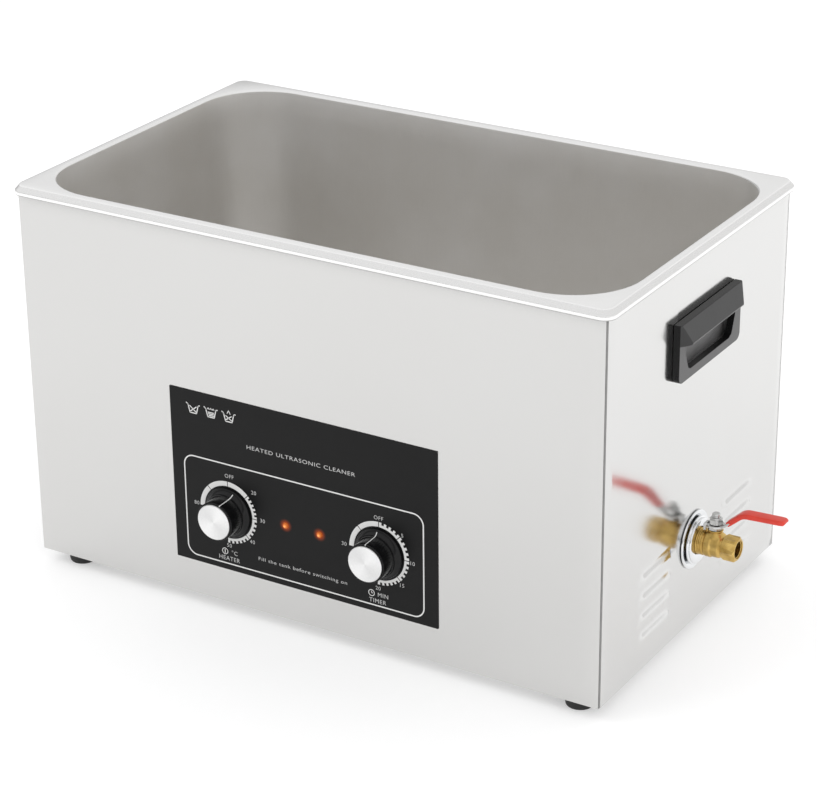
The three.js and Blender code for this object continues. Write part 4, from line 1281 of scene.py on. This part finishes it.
def make_drain_fitting():
    low, high = span("drain_outlet")
    top = high.z - low.z
    profile = [(7.0, 0), (9.5, 0), (9.5, top - 2.0), (18.4, top - 2.0), (19.0, top - 1.6), (19.0, top - 1.1)]
    profile += [(18.4, top - 0.6), (16.5, top - 0.15), (15.0, top), (9.6, top), (8.7, top - 0.4)]
    profile += [(7.6, top - 1.6), (7.0, top - 2.4), (7.0, 0)]
    shape = Shape(*lathe(profile))
    bar = rounded_outline(7.3, 0.7, 0.6, 3)
    for turn in (0, 60, 120):
        shape.add(*slab(bar, top - 3.4, top - 2.2, 0.25), place=Matrix.Rotation(math.radians(turn), 4, "Z"))
    place = placed(((low.x + high.x) / 2, (low.y + high.y) / 2, low.z))
    build("drain_strainer", shape, CHROME, "cabinet", "chrome", ["drain_outlet"], place, 35)


# ---- studio ----

# The view fitted to the photo. The distance is in metres, the lens and the aim in millimetres.
AZIMUTH, ELEVATION, ROLL = (math.radians(degrees) for degrees in (31.47, 24.195, -0.606))
DISTANCE = 2.187
LENS = 118.15
AIM = Vector((6.3, -5.6, 139.1))


def make_camera():
    level = math.cos(ELEVATION)
    back = Vector((math.sin(AZIMUTH) * level, -math.cos(AZIMUTH) * level, math.sin(ELEVATION)))
    right = Vector((math.cos(AZIMUTH), math.sin(AZIMUTH), 0))
    up = back.cross(right)
    tilted_right = right * math.cos(ROLL) + up * math.sin(ROLL)
    tilted_up = up * math.cos(ROLL) - right * math.sin(ROLL)
    lens = bpy.data.cameras.new("view")
    lens.lens = LENS
    lens.sensor_width = 36
    camera = bpy.data.objects.new("view", lens)
    turn = Matrix((tilted_right, tilted_up, back)).transposed().to_4x4()
    camera.matrix_world = Matrix.Translation(AIM * MM + ORIGIN + back * DISTANCE) @ turn
    bpy.context.scene.collection.objects.link(camera)
    bpy.context.scene.camera = camera


def make_floor():
    extent = 60.0
    corners = [(x * extent, y * extent, 0) for x, y in ((-1, -1), (1, -1), (1, 1), (-1, 1))]
    mesh = bpy.data.meshes.new("studio_floor")
    mesh.from_pydata(corners, [], [[0, 1, 2, 3]])
    mesh.materials.append(floor_finish())
    floor = bpy.data.objects.new("studio_floor", mesh)
    bpy.context.scene.collection.objects.link(floor)


def soft_light(name, place, size, power):
    """A large lamp that lights matt surfaces but doesn't show as a patch in the polished ones."""
    lamp = bpy.data.lights.new(name, "AREA")
    lamp.shape = "RECTANGLE"
    lamp.size, lamp.size_y = size
    lamp.energy = power
    holder = bpy.data.objects.new(name, lamp)
    holder.visible_glossy = False
    holder.location = place
    holder.rotation_mode = "QUATERNION"
    holder.rotation_quaternion = (Vector((0, 0, 0.18)) - Vector(place)).to_track_quat("-Z", "Y")
    bpy.context.scene.collection.objects.link(holder)


def make_sky():
    """A white studio with a grey band low down, so that bright metal has something to show."""
    world = bpy.data.worlds.new("studio")
    bpy.context.scene.world = world
    world.use_nodes = True
    tree = world.node_tree
    way = add_node(tree, "ShaderNodeTexCoord", {}).outputs["Generated"]
    split = add_node(tree, "ShaderNodeSeparateXYZ", {"Vector": way})
    ramp = add_node(tree, "ShaderNodeValToRGB", {"Fac": split.outputs["Z"]})
    stops = [(0.0, 0.80), (0.04, 0.60), (0.14, 0.28), (0.26, 0.86), (0.5, 1.0), (1.0, 0.92)]
    elements = ramp.color_ramp.elements
    while len(elements) < len(stops):
        elements.new(0.5)
    for element, (at, value) in zip(elements, stops):
        element.position = at
        element.color = (value, value, value * 1.005, 1)
    # Away from the camera the band fades into an even grey, which is what the right side sheet shows.
    behind, grey = (0.63, 0.776, 0), (0.93, 0.93, 0.93, 1)
    facing = add_node(tree, "ShaderNodeVectorMath", {0: way, 1: behind}, operation="DOT_PRODUCT")
    inputs = {"Value": facing.outputs["Value"], "From Min": 0.15, "From Max": 0.6}
    reach = add_node(tree, "ShaderNodeMapRange", inputs)
    inputs = {0: reach.outputs["Result"], 6: ramp.outputs["Color"], 7: grey}
    mix = add_node(tree, "ShaderNodeMix", inputs, data_type="RGBA")
    backdrop = tree.nodes["Background"]
    tree.links.new(mix.outputs[2], backdrop.inputs["Color"])
    backdrop.inputs["Strength"].default_value = 1.0


# ---- the object ----

make_camera()
make_floor()
make_sky()
soft_light("key", (-1.3, -1.5, 2.0), (1.6, 1.2), 12)
soft_light("fill", (1.9, -1.1, 1.5), (1.4, 1.4), 7)
soft_light("back", (0.3, 2.0, 1.7), (2.2, 1.0), 9)
bpy.context.scene.view_settings.view_transform = "Standard"

SIDE_STEEL = sheet_steel("side_steel", (0.71, 0.708, 0.70), (0.12, 0.19))
# The front sheet's steel is a darker copy of the side sheets' steel: painted shade on the front, also used on
# the rear sheet.
FRONT_STEEL_SHADED = sheet_steel("front_steel_painted_shade", (0.655, 0.652, 0.643), (0.20, 0.28))
BASE_STEEL = sheet_steel("base_steel", (0.6, 0.6, 0.59), (0.28, 0.4), 0.0004)
DRAWN = drawn_steel()
RIM = rim_steel("rim_flat_steel", (0.84, 0.837, 0.83), (0.18, 0.26))
# The slope, edge and underside steels are copies of the rim's flat steel: darker for painted shade on the
# slope, brighter for a painted highlight on the edges, much darker for a painted shadow under the lip.
RIM_SLOPE_SHADE = rim_steel("rim_slope_painted_shade", (0.79, 0.787, 0.78), (0.24, 0.30))
RIM_EDGE_HIGHLIGHT = rim_steel("rim_edge_painted_highlight", (0.91, 0.907, 0.90), (0.18, 0.26))
RIM_UNDER_SHADE = rim_steel("rim_under_painted_shade", (0.46, 0.457, 0.45), (0.3, 0.4))
CHROME = plain_metal("chrome_plate", (0.82, 0.83, 0.84), (0.05, 0.13), 300, 0.95, 0.000004)
PLATED = plain_metal("zinc_plate", (0.66, 0.66, 0.65), (0.16, 0.32), 500, 0.86)
BRASS = brass("brass_machined", (0.14, 0.26), 0.00001, 0.000008)
BRASS_CAST = brass("brass_cast", (0.24, 0.40), 0.00012, 0.00003)
ALUMINIUM = plain_metal("turned_aluminium", (0.74, 0.74, 0.75), (0.25, 0.4))
TIN = plain_metal("transducer_metal", (0.62, 0.62, 0.60), (0.3, 0.45), 300, 0.84)
KNOB = gloss_black()
HANDLE = moulded_black("handle_gloss", (0.007, 0.007, 0.0072), (0.14, 0.24), 0.00001, 0.22)
# The rail's and the hood's blacks are lighter copies of the grip's gloss black: a painted sheen on the faces
# that look out sideways.
RAIL_SHEEN = moulded_black("handle_rail_painted_sheen", (0.085, 0.084, 0.084), (0.34, 0.46), 0.00003, 0.5)
HOOD_SHEEN = moulded_black("handle_hood_painted_sheen", (0.030, 0.030, 0.0302), (0.26, 0.38), 0.00002)
CUP = moulded_black("cup_black", (0.19, 0.188, 0.188), (0.4, 0.55), 0.00002, 0.5)
INLET = moulded_black("inlet_black", (0.012, 0.012, 0.013), (0.26, 0.4))
FAN = moulded_black("fan_black", (0.016, 0.016, 0.017), (0.34, 0.5))
CONTROL = moulded_black("control_black", (0.03, 0.03, 0.031), (0.4, 0.6))
RUBBER = soft_plastic("foot_rubber", (0.030, 0.030, 0.029), (0.55, 0.75), depth=0.00006, specular=0.3)
RED = soft_plastic("red_vinyl", (0.80, 0.062, 0.040), (0.28, 0.42), 0.86, 0.00002)
SILICONE = soft_plastic("heater_silicone", (0.55, 0.14, 0.05), (0.5, 0.7))
BOARD = soft_plastic("circuit_board", (0.03, 0.17, 0.06), (0.35, 0.5), 0.7)
FERRITE = soft_plastic("ferrite", (0.05, 0.05, 0.055), (0.45, 0.7))
PRINT = printed("print_white", (0.78, 0.78, 0.77))
PRINT_SOFT = printed("print_letters", (0.58, 0.58, 0.575))
JOINT = soft_plastic("joint_shadow", (0.26, 0.26, 0.255), (0.6, 0.8))
LAMP_SPOTS = [(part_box(f"{p}_lamp")[0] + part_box(f"{p}_lamp")[1]) / 2 for p in ("heater", "timer")]
for spot in LAMP_SPOTS:
    spot.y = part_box("control_overlay")[0].y
FILM = overlay_film(LAMP_SPOTS)

make_tank()
make_side_sheets()
make_front_sheet()
for prefix in ("heater", "timer"):
    make_knob(prefix)
    make_lamp(prefix)
make_prints()
make_valve_casting()
make_valve_outlet()
make_wall_rings()
make_lever_strap()
make_lever_sleeve()
make_stem()
make_feet()
make_drain_fitting()
make_screws()

dress("rear_panel", FRONT_STEEL_SHADED, 0)
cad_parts["rear_panel"].data.shade_flat()
dress("base_plate", BASE_STEEL, 0.2)
dress("control_overlay", FILM, 0.1)
dress_handle("right")
dress_handle("left")
dress_many(["thermostat_body", "timer_body"], CONTROL)
dress_many(["thermostat_shaft", "timer_shaft"], ALUMINIUM, 0.15)
dress("drain_gasket", RUBBER, 0.2)
dress_many(["drain_nut", "drain_elbow"], BRASS)
dress("valve_ball", CHROME, 0)
dress_many([f"transducer_{i}" for i in range(1, 11)], TIN)
dress_many(["heater_pad_left", "heater_pad_right"], SILICONE)
dress("generator_board", BOARD, 0.1)
dress("heat_sink", ALUMINIUM, 0.2)
dress("output_transformer", FERRITE, 0.4)
dress_many(["fan_frame", "fan_rotor"], FAN, 0.25)
dress_many(["mains_inlet", "fuse_drawer", "power_switch_body", "power_switch_rocker"], INLET)

bpy.context.view_layer.update()
